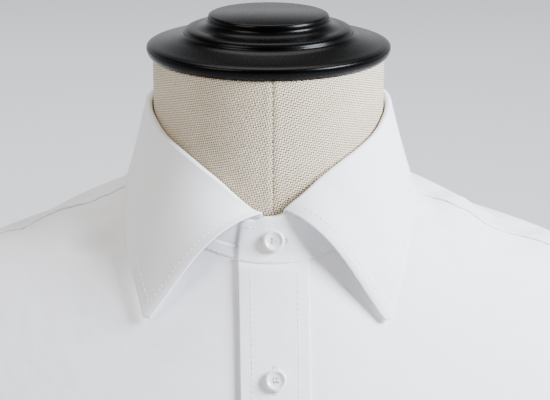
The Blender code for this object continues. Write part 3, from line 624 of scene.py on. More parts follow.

# %% [markdown]
# The form is covered in undyed linen, a plain weave of about 8 threads a centimetre that shows
# clearly. Linen threads are uneven, so the lines wander, and the gaps between fat threads get painted
# shade: a deep brown where the threads cover least.

# %% Natural linen
LINEN_THREAD = 0.0012
LINEN_SLANT = math.radians(14)      # the cover is cut a little off the straight grain
linen, tree, shader = new_material(
    "natural_linen", "CFC3B2", 0.9, Sheen_Weight=0.25, Specular_IOR_Level=0.2,
)
laid, height, cover = weave(tree, LINEN_THREAD, 0.0009)
# painted shade: the gaps between threads are darkened to a deep brown where the threads cover least
painted_gap_shade = add(tree, "MapRange", {"Value": cover.outputs[0]}, values={"From Min": 0.42, "From Max": 0.92})
slub = add(tree, "TexNoise", {"Vector": laid.outputs["Vector"]},
           values={"Scale": 700.0, "Detail": 3.0})
blotch = add(tree, "TexNoise", {"Vector": laid.outputs["Vector"]},
             values={"Scale": 45.0, "Detail": 4.0})
yarn = add(tree, "Mix", {"Factor": slub.outputs["Fac"]}, data_type="RGBA",
           values={"A": colour("D8C6A4"), "B": colour("FFF5DF")})
woven = add(tree, "Mix", {"Factor": painted_gap_shade.outputs[0], "B": yarn.outputs["Result"]}, data_type="RGBA",
            values={"A": colour("3A2E1A")})
aged = add(tree, "Mix", {"Factor": blotch.outputs["Fac"], "A": woven.outputs["Result"]},
           data_type="RGBA", blend_type="MULTIPLY", values={"B": colour("E9E4DC")})
tree.links.new(shader.inputs["Base Color"], aged.outputs["Result"])
rough = add(tree, "Bump", {"Height": height.outputs[0]}, values={"Strength": 0.9, "Distance": 0.0004})
tree.links.new(shader.inputs["Normal"], rough.outputs[0])
print("linen threads", round(0.01 / LINEN_THREAD, 1), "a centimetre")

# %% [markdown]
# The cap is turned beech under many coats of black lacquer, rubbed to a satin: nearly black, with
# soft reflections and the faintest ripple of the brush. The pole and foot are powder coated steel,
# which has a fine, even grain and no clear reflection.

# %% Black lacquer and powder coat
lacquer, tree, shader = new_material(
    "black_lacquered_beech", "010101", 0.26, Specular_IOR_Level=0.10,
)
where = add(tree, "TexCoord")
ripple = add(tree, "TexNoise", {"Vector": where.outputs["Object"]},
             values={"Scale": 60.0, "Detail": 2.0})
dust = add(tree, "TexNoise", {"Vector": where.outputs["Object"]},
           values={"Scale": 900.0, "Detail": 3.0})
sheen = add(tree, "MapRange", {"Value": dust.outputs["Fac"]}, values={"To Min": 0.20, "To Max": 0.32})
tree.links.new(shader.inputs["Roughness"], sheen.outputs[0])
wavy = add(tree, "Bump", {"Height": ripple.outputs["Fac"]},
           values={"Strength": 0.02, "Distance": 0.001})
tree.links.new(shader.inputs["Normal"], wavy.outputs[0])

coated, tree, shader = new_material("black_powder_coated_steel", "161617", 0.5)
where = add(tree, "TexCoord")
grit = add(tree, "TexNoise", {"Vector": where.outputs["Object"]},
           values={"Scale": 1400.0, "Detail": 2.0})
bumpy = add(tree, "Bump", {"Height": grit.outputs["Fac"]},
            values={"Strength": 0.25, "Distance": 0.0002})
tree.links.new(shader.inputs["Normal"], bumpy.outputs[0])
print("materials:", lacquer.name, coated.name)

# %% [markdown]
# Shirt buttons are cut from mother of pearl: milky, glossy, with cloudy bands of pink and green
# that a thin film gives the real shell.

# %% Mother of pearl
pearl, tree, shader = new_material(
    "mother_of_pearl", "ECEAE6", 0.16, Coat_Weight=0.5, Coat_Roughness=0.05,
)
where = add(tree, "TexCoord")
cloud = add(tree, "TexNoise", {"Vector": where.outputs["Object"]},
            values={"Scale": 260.0, "Detail": 3.0, "Distortion": 1.6})
bands = add(tree, "ValToRGB", {"Fac": cloud.outputs["Fac"]})
bands.color_ramp.elements[0].position = 0.30
bands.color_ramp.elements[0].color = colour("DCE5E2")
bands.color_ramp.elements[1].position = 0.72
bands.color_ramp.elements[1].color = colour("F3E4E4")
milky = bands.color_ramp.elements.new(0.5)
milky.color = colour("F2F1EC")
tree.links.new(shader.inputs["Base Color"], bands.outputs["Color"])


def finish(made, material, slot, *nodes):
    """Gives a piece its material and lets it stand for the frame's nodes. The slot is not used."""
    made.data.materials.clear()
    made.data.materials.append(material)
    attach(made, "root")
    if nodes:
        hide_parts(*nodes)
    return made


# %% [markdown]
# The fronts and the back reach under the yoke. On a real shirt each of these seams is a lap: the
# yoke's edge is turned under and stitched down on the raw edge below. So the fronts go on for five
# millimetres and the back for over one, and the yoke's border stands up to a millimetre proud. That
# step catches the light as a clean folded edge. At the sides the fronts sink under the back.

# %% Fronts, back and yoke
CLOTH = 0.0006             # real poplin with its turned seam allowances
SINK, SINK_RUN = 0.0009, 0.004    # how far an edge passes below the panel that laps it, over what run
TUCK = 0.005               # how far it goes on
TURNED_EDGE = 0.0003       # how proud the yoke's folded border stands
BEAD, BEAD_AWAY = 0.0007, 0.0014    # the fold itself is rounder: how much, and where from the edge
LAP_BORDER = (0.006, 0.010)    # from its edge: up to where the border is level, and where it has sunk
YOKE_RING_LONG = 0.024     # from ring to ring down the yoke's back
BACK_TUCK = 0.06           # the share of a ring that the back goes on under the yoke
FRONT_LAP = 0.0150
LAP_OUT = 0.0012           # the left front over the right one
PLACKET_OUT = 0.0024
PLACKET_HALF = 0.0175
LAP_RAMP = (0.018, 0.060)
BODY_CELL, YOKE_DOWN, YOKE_ACROSS = 0.0036, 0.0025, 0.0028    # sizes of the meshes' cells
FRONT_WIDE, BACK_WIDE, YOKE_WIDE = 0.23, 0.45, 0.44    # rough widths, to space the columns
FRONT_MEASURED = 40        # degrees at which the rows of a front are spaced
SIDE_RADIUS = 0.12         # turns angles near the side seam into metres, roughly
HOLE_RINGS = (SHOULDER - 0.05, UNDERARM - 0.1)    # nothing is tucked under between them
NECK_RINGS = (-1.0, -0.6, -0.25)    # rows above the neck seam
NECK_TUCK = 0.006          # how far the first of them stands up inside the collar's stand
NECK_UNDER, NECK_OUT = 0.0011, 0.07    # how far neck edges pass behind the stand, up to which ring


def angle_at(x, ring):
    """The angle at which a ring passes a place across the front."""
    return np.arcsin(x / through(RINGS, BODY["half_width"], np.clip(ring, 0, HEM)))


def rings_down(angle, cell, first, last):
    """Rings spaced by a cell's length down the body at one angle."""
    return at_lengths(lambda ring: bare_body(np.full_like(ring, angle), ring), cell, first, last)


def neck_rings(angle, cell, last):
    """The same from inside the collar's stand, as a column."""
    return np.concatenate([NECK_RINGS, rings_down(angle, cell, 0.0, last)])[:, None]


def neck_tuck(points, ring):
    """Rings above 0 stand up inside the collar's stand."""
    up = np.clip(-ring, 0, None)[..., None] * NECK_TUCK * np.array([0.0, 0.0, 1.0])
    return points + up


def neck_under(ring):
    """How far a neck edge passes behind the stand."""
    return NECK_UNDER * (1 - smooth(0.0, NECK_OUT, ring))


def front_grid(side):
    """One front as a grid: rows from the neck to the hem, columns from the centre outwards."""
    name = "left" if side > 0 else "right"
    ring = neck_rings(np.radians(side * FRONT_MEASURED), BODY_CELL, HEM)
    inside = np.clip(ring, 0, HEM)
    lapped = TUCK / through(RINGS, BODY["half_width"], inside)
    lapped = lapped * np.where((inside > HOLE_RINGS[0]) & (inside < HOLE_RINGS[1]), 0.0, 1.0)
    cut = shoulder_angle(inside, name) + seam_angle(inside)
    outer = cut + lapped
    start = angle_at(-FRONT_LAP, inside)
    share = spaced(FRONT_WIDE, BODY_CELL)[None, :] / FRONT_WIDE
    angle = start + (outer - start) * share
    x = bare_body(angle, inside)[..., 0]
    lap = LAP_OUT * (1 - smooth(*LAP_RAMP, x)) if side > 0 else 0.0
    sunk = SINK * smooth(-SINK_RUN, 0.0, (angle - cut) * SIDE_RADIUS) * (inside > HOLE_RINGS[1])
    points = face(side * angle, inside, lap * smooth(0.0, 0.2, ring) - sunk - neck_under(ring))
    return neck_tuck(points, ring)


def back_grid():
    """The back: rows from just under the yoke to the hem."""
    ring = rings_down(math.pi, BODY_CELL, SHOULDER - BACK_TUCK, HEM)[:, None]
    edge_ring = np.maximum(ring, SHOULDER)
    start = edge_angle(BACK_EDGE, edge_ring) + seam_angle(edge_ring)
    share = spaced(BACK_WIDE, BODY_CELL)[None, :] / BACK_WIDE
    angle = start + (2 * math.pi - 2 * start) * share
    return face(angle, ring)


def yoke_grid():
    """The yoke: rows from the neck seam to the shoulder points."""
    ring = neck_rings(math.pi, YOKE_DOWN, SHOULDER)
    inside = np.clip(ring, 0, HEM)
    start = shoulder_angle(inside, "left") + seam_angle(inside)
    end = 2 * math.pi - shoulder_angle(inside, "right") - seam_angle(inside)
    share = spaced(YOKE_WIDE, YOKE_ACROSS)[None, :] / YOKE_WIDE
    angle = start + (end - start) * share
    to_front = np.minimum(angle - start, end - angle) * through(RINGS, BODY["half_width"], inside)
    to_back = (SHOULDER - inside) * YOKE_RING_LONG
    border = np.maximum(1 - smooth(*LAP_BORDER, to_front), 1 - smooth(*LAP_BORDER, to_back))
    bead = np.exp(-(((np.minimum(to_front, to_back) - BEAD_AWAY) / BEAD_AWAY) ** 2))
    turned_in = (TURNED_EDGE * border + BEAD * bead) * smooth(0.1, 0.4, ring)
    return neck_tuck(face(angle, inside, turned_in - neck_under(ring)), ring)


front_left = finish(shell("front_left_cloth", front_grid(1), CLOTH), poplin, "cotton", "front_left")
front_right = finish(shell("front_right_cloth", front_grid(-1), CLOTH), poplin, "cotton", "front_right")
back = finish(shell("back_cloth", back_grid(), CLOTH), poplin, "cotton", "back")
yoke = finish(shell("yoke_cloth", yoke_grid(), CLOTH), poplin, "cotton", "yoke")

# %% [markdown]
# The placket is the stitched strip that carries the buttonholes, 35 mm wide. It lies on the left
# front and goes up inside the collar's stand, like the fronts.

# %% Placket
PLACKET_CELL = 0.0018
PLACKET_WALL = 0.0010
PLACKET_UNDER = 0.0012     # its top end passes behind the stand


def placket_grid():
    """The placket: rows from the neck to the hem, columns across."""
    ring = neck_rings(0.0, BODY_CELL, HEM)
    across = spaced(2 * PLACKET_HALF, PLACKET_CELL)[None, :] - PLACKET_HALF
    angle = angle_at(across, ring)
    out = (PLACKET_OUT + PLACKET_UNDER) * smooth(-0.05, 0.16, ring) - PLACKET_UNDER
    return neck_tuck(face(angle, ring, out * np.ones_like(angle)), ring)


placket = finish(shell("placket_cloth", placket_grid(), PLACKET_WALL), poplin, "cotton", "placket")

# %% [markdown]
# The sleeve hangs empty beside the body. It leaves the armhole sideways, turns down and flattens
# into an oval. Its head goes on for a few millimetres under the body's edge, and its end goes into
# the cuff. Soft diagonal creases gather inside the elbow, and two pleats rise from the cuff.

# %% Sleeves
CAP_SHARE = 0.42
ARMHOLE_TOP = 30 / 360
SLEEVE_ASIDE = 0.0012      # how far the hanging sleeve keeps from the body at the underarm
HEAD_BLEND = (-0.05, -0.025, 0.0, 0.025, 0.05)    # turns over which the head's corners are rounded
HEAD_ROUND, WRIST_ROUND, SLEEVE_LONG = 0.5, 0.30, 0.55    # rough lengths, to scale the puckers
HEAD_TUCK = ((0.0018, 0.006), (0.0014, 0.002))    # rows under the body's edge: how deep, how far in
HEAD_SUNK = 0.0006
FOOT_TUCK = (0.0025, 0.006)    # rows that go down inside the cuff
FOOT_PULL, FOOT_PULL_FROM = 0.0020, 0.985    # how far the end is drawn in for that, from where
SIDES = (("left", 1), ("right", -1))    # the wearer's, with the sign of X
SLEEVE = columns("height centre_x centre_y half_thick half_wide", (
    (-0.285, 0.2300, -0.001, 0.0340, 0.0760),
    (-0.360, 0.2290, -0.003, 0.0315, 0.0725),
    (-0.440, 0.2265, -0.009, 0.0295, 0.0680),
    (-0.520, 0.2260, -0.016, 0.0280, 0.0630),
    (-0.590, 0.2270, -0.022, 0.0270, 0.0590),
    (-0.6210, 0.2275, -0.0245, 0.0245, 0.0540),
))
ARMHOLE_LEAVES = columns("turn x y z", (
    (0.0, 0.86, 0.00, -0.50),
    (0.25, 0.80, -0.36, -0.48),
    (0.5, 0.22, 0.00, -0.97),
    (0.75, 0.80, 0.34, -0.50),
    (1.0, 0.86, 0.00, -0.50),
))
SLEEVE_FOLDS = columns("turn width height long proud slant", (
    (0.15, 0.060, -0.405, 0.055, -0.0080, 0.70),
    (0.33, 0.055, -0.455, 0.070, -0.0070, -0.60),
    (0.68, 0.060, -0.425, 0.065, -0.0080, 0.60),
    (0.90, 0.065, -0.375, 0.070, -0.0075, -0.50),
    (0.05, 0.055, -0.500, 0.080, 0.0050, 0.30),
    (0.24, 0.050, -0.240, 0.060, -0.0060, 0.50),
    (0.77, 0.050, -0.230, 0.060, -0.0060, -0.50),
))
SLEEVE_CREASES = columns("from_turn from_v to_turn to_v bow width depth", (
    (0.17, 0.56, 0.36, 0.63, 0.02, 0.0050, -0.0036),
    (0.20, 0.63, 0.34, 0.66, -0.01, 0.0042, -0.0028),
    (0.14, 0.69, 0.33, 0.64, 0.02, 0.0055, 0.0028),
    (0.22, 0.72, 0.40, 0.79, 0.02, 0.0050, -0.0031),
    (0.62, 0.60, 0.83, 0.65, -0.02, 0.0055, -0.0034),
    (0.66, 0.70, 0.80, 0.67, 0.02, 0.0045, -0.0028),
    (0.88, 0.60, 1.04, 0.66, 0.02, 0.0060, -0.0034),
    (0.92, 0.70, 1.06, 0.76, 0.01, 0.0050, 0.0025),
    (0.10, 0.18, 0.21, 0.36, 0.02, 0.0065, -0.0031),
    (0.30, 0.14, 0.24, 0.40, 0.03, 0.0060, -0.0034),
    (0.72, 0.16, 0.80, 0.38, 0.02, 0.0065, -0.0034),
    (0.90, 0.20, 0.83, 0.37, 0.01, 0.0060, -0.0025),
    (0.745, 1.03, 0.735, 0.86, 0.0, 0.0032, 0.0024),     # pleats above the cuff
    (0.715, 1.03, 0.700, 0.84, 0.0, 0.0032, 0.0022),
    (0.730, 1.03, 0.718, 0.88, 0.0, 0.0024, -0.0014),
))


def armhole(turn):
    """Angle and ring of the armhole's edge, from the shoulder point over the front."""
    turn = np.asarray(turn, float) % 1.0
    near = np.where(turn < 0.5, turn, 1 - turn)
    down = np.clip((near - ARMHOLE_TOP) / (0.5 - ARMHOLE_TOP), 0, 1)
    ring = SHOULDER + (UNDERARM - SHOULDER) * down
    front = edge_angle(FRONT_EDGE, ring)
    behind = edge_angle(BACK_EDGE, ring)
    ends = np.where(turn < 0.5, edge_angle(FRONT_EDGE, SHOULDER), edge_angle(BACK_EDGE, SHOULDER))
    over = math.pi / 2 + (ends - math.pi / 2) * near / ARMHOLE_TOP
    return np.where(near < ARMHOLE_TOP, over, np.where(turn < 0.5, front, behind)), ring


def sleeve_oval(turn, height):
    """A level ring of the hanging sleeve."""
    centre_x, centre_y, thick, wide = (
        through(-SLEEVE["height"], SLEEVE[name], -height)
        for name in ("centre_x", "centre_y", "half_thick", "half_wide")
    )
    x = centre_x + thick * np.cos(2 * math.pi * turn)
    y = centre_y - wide * np.sin(2 * math.pi * turn)
    return np.stack(np.broadcast_arrays(x, y, height), -1)


def leaving(turn):
    """The direction in which the sleeve leaves the armhole."""
    knots = ARMHOLE_LEAVES["turn"]
    return unit(np.stack([through(knots, ARMHOLE_LEAVES[axis], turn % 1.0) for axis in "xyz"], -1))


def plain_body(angle, ring):
    """The body's face with its soft folds alone."""
    return bare_body(angle, ring) + fold_height(angle, ring)[..., None] * body_normal(angle, ring)


def bare_sleeve(turn, v):
    """The left sleeve without folds: v from the armhole to the cuff."""
    first, last = SLEEVE["height"][0], SLEEVE["height"][-1]
    start = plain_body(*armhole(turn))
    near = np.minimum(turn % 1.0, 1 - turn % 1.0)
    aside = SEAM + SLEEVE_ASIDE * smooth(0.25, 0.5, near)
    start = start + aside[..., None] * np.array([1.0, 0.0, 0.0])
    end = sleeve_oval(turn, np.full_like(turn, first))
    long = np.linalg.norm(end - start, axis=-1, keepdims=True)
    t = np.clip(v / CAP_SHARE, 0, 1)[..., None]
    rounded = sum(plain_body(*armhole(turn + step)) for step in HEAD_BLEND) / len(HEAD_BLEND)
    at_head = (1 - smooth(0.14, 0.22, near))[..., None] * smooth(0.0, 0.35, t)
    start = start + (rounded - start) * at_head
    upper = (
        (2 * t**3 - 3 * t**2 + 1) * start
        + (t**3 - 2 * t**2 + t) * leaving(turn) * long
        + (3 * t**2 - 2 * t**3) * end
        + (t**3 - t**2) * np.array([0.0, 0.0, -1.0]) * long
    )
    down = np.clip((v - CAP_SHARE) / (1 - CAP_SHARE), 0, 1)
    lower = sleeve_oval(turn, first + (last - first) * down)
    return np.where(t < 1, upper, lower)


def bent_sleeve(turn, v):
    """The bare sleeve for the paths of creases, which may run past its end."""
    return bare_sleeve(np.asarray(turn, float), np.clip(v, 0, 1))


SLEEVE_PATHS = crease_paths(SLEEVE_CREASES, bent_sleeve)


def sleeve_normal(turn, v):
    """The direction straight out of the bare sleeve."""
    small = 0.004
    near = np.clip(v, small, 1 - small)
    around = bare_sleeve(turn + small, near) - bare_sleeve(turn - small, near)
    down = bare_sleeve(turn, near + small) - bare_sleeve(turn, near - small)
    return unit(np.cross(around, down))


def sleeve(turn, v, out=0.0):
    """The left sleeve's outer face with its folds and creases."""
    point = bare_sleeve(turn, v)
    proud = np.zeros(turn.shape) + out
    for where, width, height, long, deep, slant in zip(*SLEEVE_FOLDS.values()):
        rise = (point[..., 2] - height) / long
        away = (turn - where - slant * width * rise + 0.5) % 1.0 - 0.5
        proud = proud + deep * np.exp(-((away / width) ** 2) - rise**2)
    proud = proud + relief(point, SLEEVE_PATHS)
    proud = proud + pucker(turn * HEAD_ROUND, v * SLEEVE_LONG, 1.7, 0.0005, 0.014)
    proud = proud + pucker(turn * WRIST_ROUND, (1 - v) * SLEEVE_LONG, 0.6, 0.0005, 0.016)
    return point + proud[..., None] * sleeve_normal(turn, v)


SLEEVE_AROUND, SLEEVE_DOWN = 120, 150
SLEEVE_MIDDLE = (0.228, -0.008)    # roughly; the sleeve's cloth faces away from it
CUFF_TOP = -0.6215


def mirrored(points, side):
    """The left arm's points, or the right arm's where side is -1."""
    return points * np.array([side, 1.0, 1.0])


def sleeve_grid(side):
    """A sleeve: rows from under the body's edge down into the cuff, columns round the arm."""
    turn, v = np.meshgrid(np.linspace(0, 1, SLEEVE_AROUND + 1), np.linspace(0, 1, SLEEVE_DOWN))
    grid = sleeve(turn, v)
    angle, ring = armhole(turn[0])
    edge = plain_body(angle, ring)
    under = body_normal(angle, ring)
    head = [edge - under * sunk - leaving(turn[0]) * inwards for sunk, inwards in HEAD_TUCK]
    neck = [grid[0] - under * HEAD_SUNK]
    grid = grid - FOOT_PULL * smooth(FOOT_PULL_FROM, 1.0, v)[..., None] * sleeve_normal(turn, v)
    foot = [grid[-1] - np.array([0, 0, drop]) for drop in FOOT_TUCK]
    grid = np.concatenate([np.stack(head), np.stack(neck), grid[1:], np.stack(foot)])
    return mirrored(grid, side)


sleeves = []
for name, side in SIDES:
    middle = side * SLEEVE_MIDDLE[0], SLEEVE_MIDDLE[1]
    made = shell(f"sleeve_{name}_cloth", sleeve_grid(side), CLOTH, closed=True, middle=middle)
    sleeves.append(finish(made, poplin, "cotton", f"sleeve_{name}"))

# %% [markdown]
# Each cuff is a firm band, buttoned where its ends lap behind the wrist. Above it, a narrow strip
# finishes the slit that lets the cuff open.

# %% Cuffs and slit strips
GAP = 0.0004               # between pieces that meet
CUFF_DEEP, CUFF_ROUND = 0.064, 0.27
CUFF_WALL = 0.0016
CUFF_CLOTH = CUFF_WALL - 0.0002
CUFF_OVER = CUFF_WALL + 0.0003    # how far the end that laps over lies out
CUFF_LAP_TURN = 0.86
CUFF_LAP = 0.085
CUFF_SWELL = 0.0004
CUFF_ACROSS, CUFF_DOWN = 0.0020, 0.0022
SLIT_LONG = 0.120
SLIT_HALF = 0.012
SLIT_ABOVE = 0.002
SLIT_OUT = 0.0012
SLIT_WALL = 0.0009
SLIT_ACROSS, SLIT_DOWN = 0.0018, 0.0025


def cuff_face(turn, height, out):
    """The cuff round the wrist, on the oval of the sleeve's end."""
    thick = SLEEVE["half_thick"][-1] + out
    wide = SLEEVE["half_wide"][-1] + out
    x = SLEEVE["centre_x"][-1] + thick * np.cos(2 * math.pi * turn)
    y = SLEEVE["centre_y"][-1] - wide * np.sin(2 * math.pi * turn)
    return np.stack(np.broadcast_arrays(x, y, height), -1)


def cuff_grid(side):
    """A cuff: rows down, columns from the end that lies below to the end that laps over."""
    across = spaced(CUFF_ROUND, CUFF_ACROSS) / CUFF_ROUND
    u, v = np.meshgrid(across, spaced(CUFF_DEEP, CUFF_DOWN) / CUFF_DEEP)
    turn = CUFF_LAP_TURN - CUFF_LAP / 2 + (1 + CUFF_LAP) * u
    over = CUFF_OVER * smooth(1 - 1.2 * CUFF_LAP, 1 - 0.2 * CUFF_LAP, (1 + CUFF_LAP) * u)
    height = CUFF_TOP - GAP - CUFF_DEEP * v
    swell = CUFF_SWELL * np.sin(2 * math.pi * (3 * u + 0.2)) * np.sin(math.pi * v)
    return mirrored(cuff_face(turn, height, over + swell), side)


def slit_grid(side):
    """The strip over a slit: rows down, columns across."""
    first, last = SLEEVE["height"][0], SLEEVE["height"][-1]
    across = spaced(2 * SLIT_HALF, SLIT_ACROSS) / (2 * SLIT_HALF)
    u, v = np.meshgrid(across, spaced(SLIT_LONG, SLIT_DOWN) / SLIT_LONG)
    height = last + SLIT_ABOVE + SLIT_LONG * (1 - v)
    down = CAP_SHARE + (1 - CAP_SHARE) * (height - first) / (last - first)
    turn = CUFF_LAP_TURN + (2 * u - 1) * SLIT_HALF / WRIST_ROUND
    return mirrored(sleeve(turn, down, SLIT_OUT), side)


def wrist(side):
    """The middle line of a sleeve's end."""
    return side * SLEEVE["centre_x"][-1], SLEEVE["centre_y"][-1]


cuffs, slits = [], []
for name, side in SIDES:
    made = shell(f"cuff_{name}_cloth", cuff_grid(side), CUFF_CLOTH, middle=wrist(side))
    cuffs.append(finish(made, fused_poplin, "cotton", f"cuff_{name}"))
    made = shell(f"sleeve_placket_{name}_cloth", slit_grid(side), SLIT_WALL, middle=wrist(side))
    slits.append(finish(made, poplin, "cotton", f"sleeve_placket_{name}"))

# %% [markdown]
# The stand is the band that carries the collar. It closes the neck: its left end laps over the
# right one and is buttoned. The table gives the height of the collar's fold above it. Its front
# follows the photo, where the two halves differ slightly, and its back is a usual shirt's.

# %% Collar stand
STAND_HALF = (0.0630, 0.0652, 0.0642)
STAND_END = 0.017
STAND_CORNER = (0.008, 0.006)
STAND_CLEAR = 0.0009
STAND_WALL = 0.0018
STAND_CLOTH = STAND_WALL - 0.0003
STAND_CELL = 0.0016
STAND_ROWS = [0, 2, 5, 10, 18, *range(30, 380, 18), 382, 390, 395, 398, 400]    # of 400 steps up
STAND_FLARE = (0.0009, 0.25)    # how far its foot flares out, and up to which share of its height
STAND_LAP = (0.16, 0.40)
STAND_CLOSER = 0.4
STAND_OVER = 0.0021        # how far its lower edge comes down over the neck seam
STAND_INTO_LEAF = 0.0009   # its top edge is sewn in between the leaf's layers
FOLD_LINE = columns("degrees left right", (
    (0.0, -0.0006, -0.0006), (4.0, 0.0012, -0.0005), (8.0, 0.0050, 0.0004), (13.0, 0.0090, 0.0042),
    (18.0, 0.0129, 0.0085), (24.0, 0.0174, 0.0138), (34.0, 0.0231, 0.0206), (46.0, 0.0281, 0.0271),
    (58.0, 0.0324, 0.0318), (72.0, 0.0380, 0.0376), (90.0, 0.0422, 0.0420),
    (120.0, 0.0442, 0.0442), (150.0, 0.0458, 0.0458), (180.0, 0.0464, 0.0464),
))
FOLD_RISE = columns("degrees rise", (
    (0.0, 0.0027), (4.0, 0.0030), (10.0, 0.0068), (20.0, 0.0078),
    (34.0, 0.0068), (60.0, 0.0050), (180.0, 0.0048),
))


def ellipse(halves, angle):
    """A level oval with its own half width and its depths in front and behind."""
    half, front, behind = halves
    turn = np.cos(angle)
    return half * np.sin(angle), -np.where(turn > 0, front, behind) * turn


def fold_at(angle):
    """Height of the fold's crest, and how far it stands above the stand."""
    degrees = (np.degrees(angle) + 180) % 360 - 180
    left = through(FOLD_LINE["degrees"], FOLD_LINE["left"], np.abs(degrees))
    right = through(FOLD_LINE["degrees"], FOLD_LINE["right"], np.abs(degrees))
    rise = through(FOLD_RISE["degrees"], FOLD_RISE["rise"], np.abs(degrees))
    return np.where(degrees > 0, left, right), rise


def stand_lap(angle):
    """How far the stand's left end is moved out, to lie on its right end."""
    return (STAND_WALL + GAP) * (1 - smooth(*STAND_LAP, angle))


def stand_face(u, v):
    """The stand from its left end, which lies on top, round the back, to its right end."""
    reach = STAND_END / STAND_HALF[1]
    u = u - STAND_CLOSER * np.sin(2 * math.pi * u) / (2 * math.pi)
    angle = (2 * math.pi + 2 * reach) * u - reach
    foot = bare_body(angle, np.zeros_like(angle))
    end = np.minimum(u, 1 - u) * (2 * math.pi + 2 * reach) * STAND_HALF[1]
    low = STAND_CLEAR - STAND_OVER + foot[..., 2]
    crest, rise = fold_at(angle)
    along_corner = np.clip(end / STAND_CORNER[0], 0, 1)
    short = STAND_CORNER[1] * (1 - np.sqrt(np.clip(1 - (1 - along_corner) ** 2, 0, 1)))
    x, y = ellipse(STAND_HALF, angle)
    foot_x, foot_y = foot[..., 0], foot[..., 1]
    flat = np.stack([foot_x + (x - foot_x) * v, foot_y + (y - foot_y) * v], -1)
    flare = STAND_FLARE[0] * (1 - smooth(0.0, STAND_FLARE[1], v))
    flat = flat + (stand_lap(angle) + flare)[..., None] * unit(flat)
    height = low + (crest - rise + STAND_INTO_LEAF - short - low) * v
    return np.stack([flat[..., 0], flat[..., 1], height], -1)


def stand_grid():
    """The stand: rows from its foot up, columns from its left end to its right end."""
    u = at_lengths(lambda t: stand_face(t, np.full_like(t, 0.5)), STAND_CELL)
    u, v = np.meshgrid(u, np.linspace(0, 1, STAND_ROWS[-1] + 1)[STAND_ROWS])
    return stand_face(u, v)


stand = shell("collar_stand_cloth", stand_grid(), STAND_CLOTH)
finish(stand, fused_poplin, "cotton", "collar_stand")

# %% [markdown]
# The leaf is what makes the collar a spread one. It rises inside the stand, rolls over it and
# falls outside, sweeping away from the neck to a point on each side. Its fall is one smooth curve
# from the roll to the edge, so the cloth shows no facets. The fused layers inside make it firm:
# it has no creases, only a soft ridge where it bends over the top of the stand.

# %% Collar leaf
FOLD_ROLL = 0.0019
LEAF_WALL = 0.0013
LEAF_NAMES = "fold edge ring lift roll_end leave_out leave_down land_out land_down"
LEAF_BEHIND = (
    (120.0, 120.0, 0.42, 0.0036, 20.0, 0.0027, 0.0120, 0.0036, 0.0125),
    (150.0, 150.0, 0.50, 0.0036, 20.0, 0.0027, 0.0120, 0.0034, 0.0125),
    (180.0, 180.0, 0.55, 0.0036, 20.0, 0.0027, 0.0120, 0.0034, 0.0125),
)
LEAF_LEFT = columns(LEAF_NAMES, (
    (4.4, 31.0, 1.76, 0.0040, 80.0, 0.0196, 0.0050, 0.0140, 0.0251),
    (6.4, 32.6, 1.79, 0.0040, 74.0, 0.0188, 0.0062, 0.0134, 0.0247),
    (10.0, 35.4, 1.66, 0.0042, 64.0, 0.0168, 0.0082, 0.0122, 0.0238),
    (20.0, 41.0, 1.47, 0.0044, 44.0, 0.0118, 0.0120, 0.0092, 0.0210),
    (34.0, 49.5, 1.20, 0.0044, 32.0, 0.0070, 0.0120, 0.0064, 0.0180),
    (50.0, 60.5, 0.88, 0.0042, 27.0, 0.0042, 0.0115, 0.0044, 0.0150),
    (70.0, 75.5, 0.55, 0.0038, 22.0, 0.0030, 0.0120, 0.0040, 0.0130),
    (90.0, 91.0, 0.40, 0.0036, 20.0, 0.0027, 0.0120, 0.0038, 0.0125),
    *LEAF_BEHIND,
))
LEAF_RIGHT = columns(LEAF_NAMES, (
    (5.0, 34.9, 1.79, 0.0040, 84.0, 0.0200, 0.0002, 0.0153, 0.0262),
    (7.2, 36.5, 1.81, 0.0040, 77.0, 0.0192, 0.0022, 0.0146, 0.0256),
    (12.0, 39.4, 1.70, 0.0042, 64.0, 0.0168, 0.0062, 0.0128, 0.0243),
    (22.0, 44.6, 1.50, 0.0044, 44.0, 0.0118, 0.0112, 0.0094, 0.0210),
    (36.0, 53.0, 1.24, 0.0044, 32.0, 0.0070, 0.0118, 0.0064, 0.0180),
    (52.0, 63.5, 0.92, 0.0042, 27.0, 0.0042, 0.0115, 0.0044, 0.0150),
    (71.0, 77.5, 0.55, 0.0038, 22.0, 0.0030, 0.0120, 0.0040, 0.0130),
    (90.0, 91.0, 0.36, 0.0036, 20.0, 0.0027, 0.0120, 0.0038, 0.0125),
    *LEAF_BEHIND,
))
LEAF_SWEEP = 0.75
RISE_SHARE, ROLL_SHARE = 0.05, 0.17    # where the rise and the roll end, of the whole way round
RISE_ROWS, ROLL_ROWS, FALL_ROWS = 4, 18, 57
LEAF_RIM = (0.0035, 0.0018, 0.0007, 0.0)    # closer rows at the outer edge
LEAF_TIP = (0.0, 0.08, 0.22, 0.45, 0.8, 1.3, 1.9)    # degrees between closer columns at a point
LEAF_COLUMNS = 150


def curve(t, start, leave, land, end):
    """A curve from start to end, drawn towards the two points between."""
    rest = 1 - t
    return rest**3 * start + 3 * t * rest**2 * leave + 3 * t**2 * rest * land + t**3 * end


